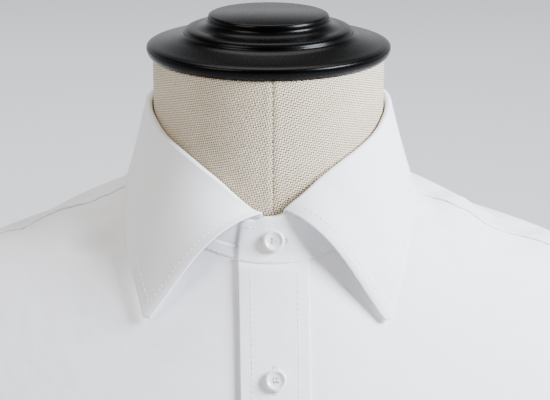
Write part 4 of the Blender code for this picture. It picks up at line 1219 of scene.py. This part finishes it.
def leaf_face(side, fold, v):
    """One half of the leaf: fold is degrees along the stand, v from the stand to the outer edge."""
    table = LEAF_LEFT if side > 0 else LEAF_RIGHT
    edge, ring, lift, roll_end, leave_out, leave_down, land_out, land_down = (
        through(table["fold"], table[name], fold) for name in LEAF_NAMES.split()[1:]
    )
    fold_angle = np.radians(fold)
    landing = plain_body(side * np.radians(edge), ring)
    landing = landing + lift[..., None] * body_normal(side * np.radians(edge), ring)
    land_turn = np.arctan2(np.abs(landing[..., 0]), -landing[..., 1])
    land_radius = np.hypot(landing[..., 0], landing[..., 1])
    x, y = ellipse(STAND_HALF, fold_angle)
    fold_turn = np.arctan2(x, -y)
    inner = np.hypot(x, y) - STAND_WALL + (stand_lap(fold_angle) if side > 0 else 0.0)
    top, above = fold_at(side * fold_angle)
    centre = inner + FOLD_ROLL
    rise = np.clip(v / RISE_SHARE, 0, 1)
    roll = np.clip((v - RISE_SHARE) / (ROLL_SHARE - RISE_SHARE), 0, 1)
    fall = np.clip((v - ROLL_SHARE) / (1 - ROLL_SHARE), 0, 1)
    tilt = np.radians(180 + (roll_end - 180) * roll)
    roll_radius = centre + FOLD_ROLL * np.cos(tilt)
    roll_height = top - FOLD_ROLL + FOLD_ROLL * np.sin(tilt)
    foot = top - above + SEAM
    end_tilt = np.radians(roll_end)
    from_radius = centre + FOLD_ROLL * np.cos(end_tilt)
    from_height = top - FOLD_ROLL + FOLD_ROLL * np.sin(end_tilt)
    fall_radius = curve(fall, from_radius, from_radius + leave_out, land_radius - land_out, land_radius)
    low = landing[..., 2]
    fall_height = curve(fall, from_height, from_height - leave_down, low + land_down, low)
    parts = [v < RISE_SHARE, v < ROLL_SHARE]
    radius = np.select(parts, [inner, roll_radius], fall_radius)
    height = np.select(parts, [foot + (top - FOLD_ROLL - foot) * rise, roll_height], fall_height)
    turn = fold_turn + (land_turn - fold_turn) * fall**LEAF_SWEEP
    return np.stack([side * radius * np.sin(turn), -radius * np.cos(turn), height], -1)


def leaf_grid():
    """Both halves side by side, from the left point round the back to the right point."""
    rise = np.linspace(0, RISE_SHARE, RISE_ROWS + 1)[:-1]
    roll = np.linspace(RISE_SHARE, ROLL_SHARE, ROLL_ROWS + 1)[:-1]
    fall = ROLL_SHARE + (1 - ROLL_SHARE) * np.linspace(0, 1, FALL_ROWS + 1) ** 1.1
    rim = 1 - np.array(LEAF_RIM) * 5
    v = np.unique(np.concatenate([rise, roll, fall[:-1], rim]))[:, None]
    halves = []
    for side, table in ((1, LEAF_LEFT), (-1, LEAF_RIGHT)):
        first = table["fold"][0]
        fine = first + np.array(LEAF_TIP)
        along = np.linspace(0, 1, LEAF_COLUMNS)[1:] ** 1.25
        rest = first + LEAF_TIP[-1] + (180 - first - LEAF_TIP[-1]) * along
        fold = np.concatenate([fine, rest])[None, :] + 0 * v
        halves.append(leaf_face(side, fold, v + 0 * fold))
    return np.concatenate([halves[0], halves[1][:, -2::-1]], axis=1)


leaf_points = leaf_grid()
leaf = shell("collar_leaf_cloth", leaf_points, LEAF_WALL)
finish(leaf, fused_poplin, "cotton", "collar_leaf")

# %% [markdown]
# The form's linen cover follows the same rings, a little inside the shirt. The neck is a plain
# drum, with one seam down its front. The seam is a narrow trough between two soft ridges, where
# the linen's edges are turned in and meet.

# %% Linen torso and neck
NECK_RADII = (0.0605, 0.0611)
NECK_TOP = 0.0660
NECK_SWELLS = 0.028        # height at which the drum starts to widen
NECK_ROOT = (0.0007, 0.0085)
TORSO_BOTTOM = -0.640
CLEAR_OF_DIPS = 0.0026     # the cover lies deeper under the shoulders' dips, out of sight
LINEN_DEEPER = 0.0004      # and everywhere a little deeper than the table says
SEAM_RIDGE = (0.00022, 0.0026, 0.0016)    # beside the neck's seam: height, distance and width
SEAM_TROUGH = (0.00026, 0.00045)    # depth and width
CLOSING = (0.97, 0.6, 0.2, 0.01)    # rings that close the flat bottom, as shares of the last one
FORM_INSET = columns("ring inset", (
    (0.0, 0.0050), (0.5, 0.0026), (1.0, 0.0024), (1.75, 0.0028), (2.5, 0.0030),
    (3.25, 0.0032), (4.1, 0.0048), (4.8, 0.0125), (5.4, 0.0105), (6.0, 0.0100),
    (7.0, 0.0140), (8.0, 0.0170), (9.0, 0.0180), (10.0, 0.0190),
))


def torso_grid():
    """Rows from the top of the neck to the flat bottom, columns round from the centre back."""
    fine = np.concatenate([[0.0], np.geomspace(0.0006, 0.05, 16), np.linspace(0.07, math.pi, 72)])
    angle = np.concatenate([-fine[::-1], fine[1:]])
    x, y = ellipse((*NECK_RADII, NECK_RADII[1]), angle)
    heights = np.linspace(NECK_TOP, NECK_SWELLS, 30)
    rows = [np.stack([x, y, np.full_like(x, height)], -1) for height in heights]
    root = bare_body(angle, np.zeros_like(angle))[:, 2] + NECK_ROOT[1]
    swell = NECK_ROOT[0] / NECK_RADII[0]
    for share in np.linspace(0, 1, 16)[1:]:
        wide = 1 + swell * share
        low = NECK_SWELLS + (root - NECK_SWELLS) * share
        rows.append(np.stack([x * wide, y * wide, low], -1))
    for ring in np.linspace(0.0, 10.0, 110):
        inset = through(FORM_INSET["ring"], FORM_INSET["inset"], ring) + LINEN_DEEPER
        inset = inset + CLEAR_OF_DIPS * smooth(0.4, 0.9, ring) * (1 - smooth(3.4, 4.4, ring))
        at = np.full_like(angle, ring)
        rows.append(bare_body(angle, at) - inset * body_normal(angle, at))
    last = rows[-1].copy()
    for share in (0.5, 1.0):
        low = last.copy()
        low[:, 2] = last[:, 2] + (TORSO_BOTTOM - last[:, 2]) * share
        rows.append(low)
    grid = np.stack(rows)
    away = np.abs(angle) * np.hypot(x, y)
    high, aside, wide = SEAM_RIDGE
    deep, narrow = SEAM_TROUGH
    ridge = high * np.exp(-(((away - aside) / wide) ** 2)) - deep * np.exp(-((away / narrow) ** 2))
    out = unit(grid * np.array([1.0, 1.0, 0.0]))
    grid = grid + out * ridge[None, :, None]
    middle = grid[-1].mean(0)
    closing = [middle + (grid[-1] - middle) * share for share in CLOSING]
    return np.concatenate([grid, np.stack(closing)])


def turned_sheet(name, points):
    """A closed skin round an axis, with the top and bottom rings filled."""
    rows, count = points.shape[:2]
    ids = np.arange(rows * count).reshape(rows, count)
    corners = quads(ids)
    ids[:, -1] = ids[:, 0]
    mesh = bpy.data.meshes.new(name)
    mesh.from_pydata((points.reshape(-1, 3) + LIFT).tolist(), [], quads(ids).tolist())
    run = run_along(points, 1)
    aside = np.abs(run - run[:, count // 2:count // 2 + 1])
    down = run_along(points, 0)
    slant = math.cos(LINEN_SLANT), math.sin(LINEN_SLANT)
    flat = np.stack([aside * slant[0] + down * slant[1], aside * slant[1] - down * slant[0]], -1)
    laid = mesh.uv_layers.new(name="cloth_metres")
    laid.data.foreach_set("uv", flat.reshape(-1, 2)[corners.ravel()].ravel())
    bm = bmesh.new()
    bm.from_mesh(mesh)
    loose = [vert for vert in bm.verts if not vert.link_faces]
    bmesh.ops.delete(bm, geom=loose, context="VERTS")
    bmesh.ops.holes_fill(bm, edges=[edge for edge in bm.edges if edge.is_boundary], sides=0)
    bmesh.ops.recalc_face_normals(bm, faces=bm.faces)
    bm.to_mesh(mesh)
    bm.free()
    mesh.shade_smooth()
    print(name, len(mesh.polygons), "faces")
    return put(name, mesh)


torso = finish(turned_sheet("linen_torso", torso_grid()), linen, "linen", "form_torso")

# %% [markdown]
# Turned pieces are a profile spun by a Screw modifier. The cap's profile is drawn through its
# points as a smooth curve first, because a lathe leaves rounded steps and coves.

# %% Cap, pole and foot
CAP_PROFILE = (
    (0.0000, 0.0218), (0.0300, 0.0218), (0.0311, 0.0213), (0.0316, 0.0202), (0.0319, 0.0182),
    (0.0337, 0.0164), (0.0368, 0.0153), (0.0404, 0.0149), (0.0427, 0.0143), (0.0440, 0.0131),
    (0.0446, 0.0116), (0.0466, 0.0104), (0.0510, 0.0091), (0.0568, 0.0077), (0.0615, 0.0067),
    (0.0634, 0.0058), (0.0638, 0.0044), (0.0632, 0.0018), (0.0616, 0.0000), (0.0000, 0.0000),
)
FOOT_PROFILE = (
    (0.0, 0.022), (0.018, 0.022), (0.021, 0.0195), (0.030, 0.0165), (0.090, 0.0125),
    (0.150, 0.0105), (0.161, 0.0085), (0.165, 0.0045), (0.164, 0.0), (0.0, 0.0),
)
POLE_RADIUS = 0.0125
FOOT_THICK = 0.022


def smooth_profile(points, first, last, count):
    """Points first to last of a profile redrawn as one smooth curve, the others kept."""
    points = np.array(points)
    bent = points[first:last + 1]
    steps = np.linalg.norm(np.diff(bent, axis=0), axis=1)
    run = np.concatenate([[0.0], np.cumsum(np.sqrt(steps))])
    at = np.linspace(0, run[-1], count)
    drawn = np.stack([through(run, bent[:, k], at) for k in (0, 1)], 1)
    return np.concatenate([points[:first], drawn, points[last + 1:]])


def turned(name, profile, steps, place):
    """A profile spun round its own Z axis."""
    mesh = bpy.data.meshes.new(name)
    points = [(radius, 0.0, height) for radius, height in profile]
    mesh.from_pydata(points, [(k, k + 1) for k in range(len(points) - 1)], [])
    made = put(name, mesh)
    screw = made.modifiers.new("turn", "SCREW")
    screw.steps = steps
    screw.render_steps = steps
    screw.use_merge_vertices = True
    screw.merge_threshold = 0.00001
    screw.use_smooth_shade = True
    made.matrix_world = place
    bpy.context.view_layer.update()
    solid = bpy.data.meshes.new_from_object(made.evaluated_get(bpy.context.evaluated_depsgraph_get()))
    made.modifiers.clear()
    made.data = solid
    solid.shade_smooth()
    solid.set_sharp_from_angle(angle=math.radians(40))
    print(name, len(solid.polygons), "faces")
    return made


cap_place = Matrix.Translation((0, 0, NECK_HEIGHT + NECK_TOP))
cap = turned("turned_cap", smooth_profile(CAP_PROFILE, 1, 18, 90), 160, cap_place)
finish(cap, lacquer, "lacquer", "form_neck_cap")
pole_low, pole_high = FOOT_THICK + GAP, NECK_HEIGHT + TORSO_BOTTOM - GAP
pole_long = pole_high - pole_low
pole_profile = [(0.0, pole_long), (POLE_RADIUS, pole_long), (POLE_RADIUS, 0.0), (0.0, 0.0)]
pole = turned("steel_pole", pole_profile, 64, Matrix.Translation((0, 0, pole_low)))
finish(pole, coated, "coated_steel", "form_pole")
foot = turned("steel_foot", smooth_profile(FOOT_PROFILE, 1, 8, 50), 160, Matrix.Identity(4))
finish(foot, coated, "coated_steel", "form_base")

# %% [markdown]
# Stitches are real thread here: each is a small pointed grain that sinks at both ends. A fine
# shirt has 16 to 20 stitches an inch, too small to show from a metre away, so they are drawn
# about twice as long. All the stitches of one piece are one mesh of copies of one template.

# %% Stitches
STITCH_PITCH = 0.0029      # about twice the real length
STITCH_LONG = 0.0022
THREAD_RADIUS = 0.00019
THREAD_OUT = 0.00006
GRAIN_SIDES = 5
RING_SHAPE = [(math.cos(a), math.sin(a)) for a in np.linspace(0, 2 * math.pi, GRAIN_SIDES + 1)[:-1]]


def grains(name, centres, ways, ups, long, radius):
    """One mesh of pointed grains, each at a centre, along a way, with its up side out."""
    sides = np.cross(ways, ups)
    steps = [(-0.5, 0.0, -1.0)]
    steps += [(x, side, rise) for x in (-0.28, 0.28) for side, rise in RING_SHAPE]
    steps.append((0.5, 0.0, -1.0))
    template = np.array(steps) * np.array([long, radius, radius])
    points = (
        centres[:, None] + template[None, :, :1] * ways[:, None]
        + template[None, :, 1:2] * sides[:, None] + template[None, :, 2:] * ups[:, None]
    )
    faces = []
    other, tip = 1 + GRAIN_SIDES, 1 + 2 * GRAIN_SIDES
    for k in range(GRAIN_SIDES):
        after = (k + 1) % GRAIN_SIDES
        faces.append((0, 1 + after, 1 + k))
        faces.append((1 + k, 1 + after, other + after))
        faces.append((1 + k, other + after, other + k))
        faces.append((tip, other + k, other + after))
    faces = np.array(faces)[None] + len(steps) * np.arange(len(centres))[:, None, None]
    mesh = bpy.data.meshes.new(name)
    mesh.from_pydata(points.reshape(-1, 3).tolist(), [], faces.reshape(-1, 3).tolist())
    mesh.shade_smooth()
    return put(name, mesh)


def at_run(places, run, points):
    """The points of a path at lengths along it."""
    return np.stack([np.interp(places, run, points[:, k]) for k in range(3)], 1)


def sewn(paths):
    """Centres, ways and ups of the stitches along paths of points and normals."""
    centres, ways, ups = [], [], []
    for points, normals in paths:
        run = length_along(points)
        count = max(1, int(run[-1] / STITCH_PITCH))
        at = (np.arange(count) + 0.5) * run[-1] / count
        step = 0.4 * STITCH_PITCH
        way = unit(at_run(at + step, run, points) - at_run(at - step, run, points))
        up = unit(at_run(at, run, normals))
        up = unit(up - (up * way).sum(1, keepdims=True) * way)
        centres.append(at_run(at, run, points) + up * THREAD_OUT + LIFT)
        ways.append(way)
        ups.append(up)
    return np.concatenate(centres), np.concatenate(ways), np.concatenate(ups)


def stitches(name, paths):
    """All the stitches along some paths, as one piece."""
    centres, ways, ups = sewn(paths)
    finish(grains(name, centres, ways, ups, STITCH_LONG, THREAD_RADIUS), thread, "cotton")
    print(name, len(centres), "stitches")


def body_path(angles, rings, out=0.0):
    """A line on the dressed body, with its normals."""
    angles, rings, out = np.broadcast_arrays(angles, rings, out)
    return face(angles, rings, out), body_normal(angles, rings)


def grid_line(points, inset, edge, middle=(0.0, 0.0)):
    """A line on a grid at a distance inside one edge, kept as far from the neighbouring edges."""
    normals, _ = grid_normals(points, False, middle)
    if edge in ("left", "right"):
        points, normals = points.transpose(1, 0, 2), normals.transpose(1, 0, 2)
    if edge in ("bottom", "right"):
        points, normals = points[::-1], normals[::-1]
    run = run_along(points, 0)
    place, up = (
        np.array([
            [np.interp(inset, run[:, k], grid[:, k, axis]) for axis in range(3)]
            for k in range(grid.shape[1])
        ])
        for grid in (points, normals)
    )
    along = length_along(place)
    keep = (along >= inset) & (along <= along[-1] - inset)
    return place[keep], unit(up[keep])


# %% [markdown]
# The linen's front seam is closed by hand, with small stitches across it a little over two
# millimetres apart. Unbleached thread is darker than the cloth, so they show as a row of dots.

# %% Stitches of the linen seam
SEAM_STITCH = 0.0023
SEAM_STITCH_OUT = 0.00004
SEAM_STITCH_LONG, SEAM_THREAD_RADIUS = 0.0011, 0.00022
linen_thread, _, _ = new_material("unbleached_linen_thread", "6E6250", 0.8)
heights = np.arange(-0.004, NECK_TOP, SEAM_STITCH) + NECK_HEIGHT
centres = np.stack([0 * heights, 0 * heights - NECK_RADII[1] - SEAM_STITCH_OUT, heights], 1)
across = np.tile([1.0, 0.0, 0.0], (len(heights), 1))
outwards = np.tile([0.0, -1.0, 0.0], (len(heights), 1))
dots = grains("linen_seam_stitches", centres, across, outwards, SEAM_STITCH_LONG, SEAM_THREAD_RADIUS)
finish(dots, linen_thread, "linen")
print("stitches down the neck:", len(heights))

# %% [markdown]
# The lines of stitching are the ones that a shirt maker sews: the leaf is edge stitched 6 mm in,
# the stand close to its edges, the placket 6 mm from both sides, and the yoke, armholes, cuffs,
# slits and hem along their laps.

# %% Stitches of the collar and fronts
LEAF_STITCH = 0.0060       # from its edges
STAND_STITCHES = (("top", 0.0015), ("bottom", 0.0035))
PLACKET_STITCH = 0.006
HOLE_STITCH = 0.060        # radians from the armhole's edge
HEM_STITCH = 10.94         # the ring that the hem's stitches follow

leaf_fall = leaf_points[RISE_ROWS + ROLL_ROWS:]
collar_lines = [grid_line(leaf_fall, LEAF_STITCH, edge) for edge in ("bottom", "left", "right")]
collar_lines += [grid_line(stand_grid(), inset, edge) for edge, inset in STAND_STITCHES]
stitches("stitches_collar", collar_lines)

rings = np.linspace(0.35, 10.93, 900)
front_lines = [
    body_path(angle_at(x, rings), rings, PLACKET_OUT)
    for x in (-PLACKET_HALF + PLACKET_STITCH, PLACKET_HALF - PLACKET_STITCH)
]
rings = np.linspace(5.05, 6.9, 200)
for side in (1, -1):
    front_lines.append(body_path(side * (edge_angle(FRONT_EDGE, rings) - HOLE_STITCH), rings))
    front_lines.append(body_path(side * np.linspace(0.30, 1.52, 200), np.full(200, HEM_STITCH)))
stitches("stitches_fronts", front_lines)

# %% Stitches of the yoke, back and sleeves
YOKE_STITCH = 0.0022 / 0.11    # radians behind the seam: about 2 mm, where the body is 11 cm deep
SIDE_STITCH = 1.5930       # the angle of the stitches behind the side seam
CUFF_STITCH, SLIT_STITCH = 0.0055, 0.0020

rings = np.linspace(0.12, 4.92, 300)
stitches("stitches_yoke", [
    body_path(shoulder_angle(rings, "left") + YOKE_STITCH + seam_angle(rings), rings),
    body_path(-shoulder_angle(rings, "right") - YOKE_STITCH - seam_angle(rings), rings),
    body_path(np.linspace(1.90, 2 * math.pi - 1.90, 400), np.full(400, 4.965)),
])

back_lines = [body_path(np.linspace(1.62, 2 * math.pi - 1.62, 400), np.full(400, HEM_STITCH))]
for side in (1, -1):
    rings = np.linspace(5.1, 6.9, 200)
    back_lines.append(body_path(side * (edge_angle(BACK_EDGE, rings) + HOLE_STITCH), rings))
    rings = np.linspace(7.1, 10.9, 300)
    back_lines.append(body_path(side * np.full(300, SIDE_STITCH), rings))
stitches("stitches_back", back_lines)

sleeve_lines = []
for side in (1, -1):
    for points, inset, edges in (
        (cuff_grid(side), CUFF_STITCH, ("top", "bottom", "left", "right")),
        (slit_grid(side), SLIT_STITCH, ("top", "left", "right")),
    ):
        sleeve_lines += [grid_line(points, inset, edge, wrist(side)) for edge in edges]
stitches("stitches_sleeves", sleeve_lines)

# %% [markdown]
# A buttonhole is a slit overcast with dense thread: a row of short bars on each side and a bar
# across each end. The collar's and the cuffs' are level, the placket's are upright.

# %% Buttonholes
BUTTON_HEIGHTS = (-0.078, -0.168, -0.258, -0.348, -0.438, -0.528, -0.618)
HOLE_LONG = 0.0140
BAR_PITCH = 0.00042
BAR_LONG, BAR_RADIUS = 0.0016, 0.00016
BAR_ASIDE, BAR_OUT = 0.00085, 0.0001    # from the slit's middle, and above the cloth
END_BARS, END_PITCH, END_STEP = 4, 0.0004, 0.0001


def hole_bars(centre, way, up):
    """The thread bars round one slit."""
    side = np.cross(way, up)
    places = np.arange(-HOLE_LONG / 2, HOLE_LONG / 2, BAR_PITCH)
    centres, ways = [], []
    for sign in (-1, 1):
        for at in places:
            centres.append(centre + way * at + side * sign * BAR_ASIDE)
            ways.append(side)
    for sign in (-1, 1):
        for k in range(END_BARS):
            end = centre + way * sign * (HOLE_LONG / 2 + END_STEP * k)
            centres.append(end + side * (k - (END_BARS - 1) / 2) * END_PITCH)
            ways.append(side)
    return np.array(centres), np.array(ways), np.tile(up, (len(centres), 1))


def front_seat(height):
    """Where a front button sits on the placket: point, down and out."""
    rings = np.linspace(0.2, 10.8, 2000)
    line = face(np.zeros(2000), rings, PLACKET_OUT)
    k = int(np.argmin(np.abs(line[:, 2] - height)))
    down = unit(line[k + 20] - line[k - 20])
    return line[k], down, np.array([0.0, down[2], -down[1]])


def stand_seat():
    """Where the collar button sits: point, along and out."""
    u = np.linspace(0.0, 0.2, 1201)
    row = stand_face(u, np.full(u.shape, 0.5))
    middle = u[np.argmin(np.abs(row[:, 0]))]
    low, high = stand_face(np.full(2, middle), np.array([0.3, 0.7]))
    up = unit(high - low)
    return (low + high) / 2, np.array([1.0, 0.0, 0.0]), np.array([0.0, -up[2], up[1]])


def cuff_seat(side):
    """Where a cuff button sits: point, along and out."""
    height = CUFF_TOP - CUFF_DEEP / 2
    turns = CUFF_LAP_TURN + np.array([-0.01, 0.0, 0.01])
    before, point, after = cuff_face(turns, height, CUFF_OVER)
    along = unit(after - before)
    out = np.array([along[1], -along[0], 0.0])
    out = out * math.copysign(1.0, out[0])
    return tuple(mirrored(vector, side) for vector in (point, along, out))


seats = {"button_collar": stand_seat()}
for number, height in enumerate(BUTTON_HEIGHTS, 1):
    seats[f"button_front_{number}"] = front_seat(height)
for name, side in SIDES:
    seats[f"button_cuff_{name}"] = cuff_seat(side)
bars = [hole_bars(point + out * BAR_OUT + LIFT, way, out) for point, way, out in seats.values()]
bars = [np.concatenate(part) for part in zip(*bars)]
finish(grains("buttonhole_thread", *bars, BAR_LONG, BAR_RADIUS), thread, "cotton")
print("buttonholes:", len(seats))

# %% [markdown]
# A shirt button is a turned disc, 11 mm across, with a raised rim and four holes. The disc is spun
# from its profile, the holes are cut with a Boolean, and each of the ten buttons is a copy of it.

# %% Buttons
BUTTON_PROFILE = (
    (0.0000, 0.0015), (0.0026, 0.0015), (0.0033, 0.0017), (0.0038, 0.0021), (0.0043, 0.0024),
    (0.0048, 0.00235), (0.0052, 0.0021), (0.0055, 0.0016), (0.0055, 0.0011), (0.0051, 0.0005),
    (0.0044, 0.0001), (0.0036, 0.0), (0.0000, 0.0),
)
EYE_RADIUS = 0.00070
EYE_AWAY = 0.00115
BUTTON_OUT = 0.0006        # its underside above the cloth
STRAND_LONG, STRAND_RADIUS = 0.0028, 0.00016
STRAND_OUT, STRAND_DIP = 0.00165, 0.00003    # above the underside, less at the outer strands


def button_mesh():
    """One button with its four eyes cut through."""
    disc = turned("button_blank", smooth_profile(BUTTON_PROFILE, 1, 11, 26), 40, Matrix.Identity(4))
    for corner in range(4):
        angle = math.radians(45 + 90 * corner)
        middle = EYE_AWAY * math.cos(angle), EYE_AWAY * math.sin(angle), 0.001
        bm = bmesh.new()
        bmesh.ops.create_cone(
            bm, cap_ends=True, segments=18, radius1=EYE_RADIUS, radius2=EYE_RADIUS, depth=0.01,
            matrix=Matrix.Translation(middle),
        )
        cutter_mesh = bpy.data.meshes.new("eye_cutter")
        bm.to_mesh(cutter_mesh)
        bm.free()
        cutter = put("eye_cutter", cutter_mesh)
        cut = disc.modifiers.new("eye", "BOOLEAN")
        cut.operation = "DIFFERENCE"
        cut.object = cutter
        bpy.context.view_layer.update()
        holed = disc.evaluated_get(bpy.context.evaluated_depsgraph_get())
        holed = bpy.data.meshes.new_from_object(holed)
        disc.modifiers.clear()
        disc.data = holed
        bpy.data.objects.remove(cutter)
    mesh = disc.data
    bpy.data.objects.remove(disc)
    mesh.shade_smooth()
    mesh.set_sharp_from_angle(angle=math.radians(38))
    return mesh


button_disc = button_mesh()
strands = []
for name, (point, way, out) in seats.items():
    side = np.cross(out, way)
    turn = Matrix([[way[k], side[k], out[k]] for k in range(3)]).to_4x4()
    seat = Vector(point + out * BUTTON_OUT + LIFT)
    made = put(f"{name}_pearl", button_disc.copy())
    made.matrix_world = Matrix.Translation(seat) @ turn
    finish(made, pearl, "button", name)
    for sign in (-1, 1):
        for strand in (-1, 0, 1):
            aside = side * (sign * EYE_AWAY * math.sin(math.pi / 4) + strand * STRAND_RADIUS)
            above = out * (STRAND_OUT - STRAND_DIP * abs(strand))
            strands.append((np.array(seat) + aside + above, way, out))
strands = [np.array(part) for part in zip(*strands)]
finish(grains("button_thread", *strands, STRAND_LONG, STRAND_RADIUS), thread, "cotton")
print("buttons:", len(seats), "faces each:", len(button_disc.polygons))

# %% [markdown]
# Each sheet of cloth is listed with the size that it was cut to, and its laid area is worked out.
# Cloth bends but hardly stretches, so a piece laid flat has its worn size. The table gives the width
# and length of the rectangle that each piece was cut from, and the share that it fills: less where a
# sleeve's head is rounded, or where the yoke curves round the neck.

# %% Sheets and their cut
CUTS = (
    # piece, width, length, share filled, how it is held, what it rests on
    (leaf, 0.44, 0.090, 0.57, "folded", stand),
    (stand, 0.49, 0.041, 0.80, "stretched", yoke),
    (yoke, 0.60, 0.210, 0.42, "draped", torso),
    (back, 0.55, 0.680, 0.82, "hung", yoke),
    (front_left, 0.30, 0.840, 0.74, "hung", yoke),
    (front_right, 0.30, 0.850, 0.74, "hung", yoke),
    (placket, 0.036, 0.750, 0.99, "hung", front_left),
    (sleeves[0], 0.48, 0.580, 0.58, "hung", yoke),
    (sleeves[1], 0.48, 0.580, 0.58, "hung", yoke),
    (cuffs[0], 0.28, 0.064, 0.99, "folded", sleeves[0]),
    (cuffs[1], 0.28, 0.064, 0.99, "folded", sleeves[1]),
    (slits[0], 0.024, 0.120, 0.97, "laid", sleeves[0]),
    (slits[1], 0.024, 0.120, 0.97, "laid", sleeves[1]),
)
for piece, wide, long, filled, held, below in CUTS:
    laid = sum(face.area for face in piece.data.polygons) / 2

# %% [markdown]
# The stage is a plain pale floor, wide enough to fill the view behind the shoulders. The light is
# a soft box in front and to the right, a weaker, higher one on the left, one above, and the floor
# behind has a light of its own. The sky is bright low down behind, weak overhead and dark in front,
# so that black lacquer has something dark to show.

# %% Floor and light
floor_colour, _, _ = new_material("pale_floor", "E2E3E6", 0.9)
bpy.ops.mesh.primitive_plane_add(size=40.0)
floor = bpy.context.object
floor.name = "floor"
floor.data.materials.append(floor_colour)
floor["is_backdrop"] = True


def soft_box(name, place, aim, size, power, code):
    """A large area light that looks at a point."""
    light = bpy.data.lights.new(name, "AREA")
    light.shape = "RECTANGLE"
    light.size, light.size_y = size
    light.energy = power
    light.color = colour(code)[:3]
    made = put(name, light)
    made.location = place
    made.rotation_euler = (Vector(aim) - Vector(place)).to_track_quat("-Z", "Y").to_euler()


chest = (0.0, 0.0, NECK_HEIGHT - 0.02)
soft_box("key_light", (1.7, -0.75, 2.0), chest, (1.0, 0.9), 225.0, "EEF3FF")
soft_box("fill_light", (-1.8, -1.4, 2.8), chest, (1.5, 1.5), 58.0, "FFF6EA")
soft_box("top_light", (0.1, 0.9, 2.9), chest, (1.6, 1.2), 22.0, "FFFFFF")
soft_box("background_light", (0.0, 2.6, 3.6), (0.0, 6.5, 0.0), (7.0, 2.0), 300.0, "F8FAFF")

sky = bpy.data.worlds.new("pale_sky")
sky.use_nodes = True
backdrop = sky.node_tree.nodes["Background"]
backdrop.inputs["Color"].default_value = colour("F2F4F8")
heading = add(sky.node_tree, "TexCoord")
split = add(sky.node_tree, "SeparateXYZ", {0: heading.outputs["Generated"]})
behind = add(sky.node_tree, "MapRange", {"Value": split.outputs["Y"]},
             values={"From Min": -0.9, "From Max": 0.6, "To Min": 0.05, "To Max": 1.25})
above = add(sky.node_tree, "MapRange", {"Value": split.outputs["Z"]},
            values={"From Min": 0.60, "From Max": 0.95, "To Min": 0.0, "To Max": 0.38})
low = add(sky.node_tree, "MapRange", {"Value": split.outputs["Z"]},
          values={"From Min": 0.22, "From Max": 0.48, "To Min": 1.0, "To Max": 0.12})
horizon = add(sky.node_tree, "Math", {0: behind.outputs[0], 1: low.outputs[0]}, operation="MULTIPLY")
lit = add(sky.node_tree, "Math", {0: horizon.outputs[0], 1: above.outputs[0]}, operation="ADD")
sky.node_tree.links.new(backdrop.inputs["Strength"], lit.outputs[0])
bpy.context.scene.world = sky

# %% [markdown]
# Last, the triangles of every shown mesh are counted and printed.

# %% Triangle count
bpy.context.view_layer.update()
meshes = [piece.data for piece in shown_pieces() if piece.type == "MESH"]
print("triangles:", sum(len(face.vertices) - 2 for mesh in meshes for face in mesh.polygons))
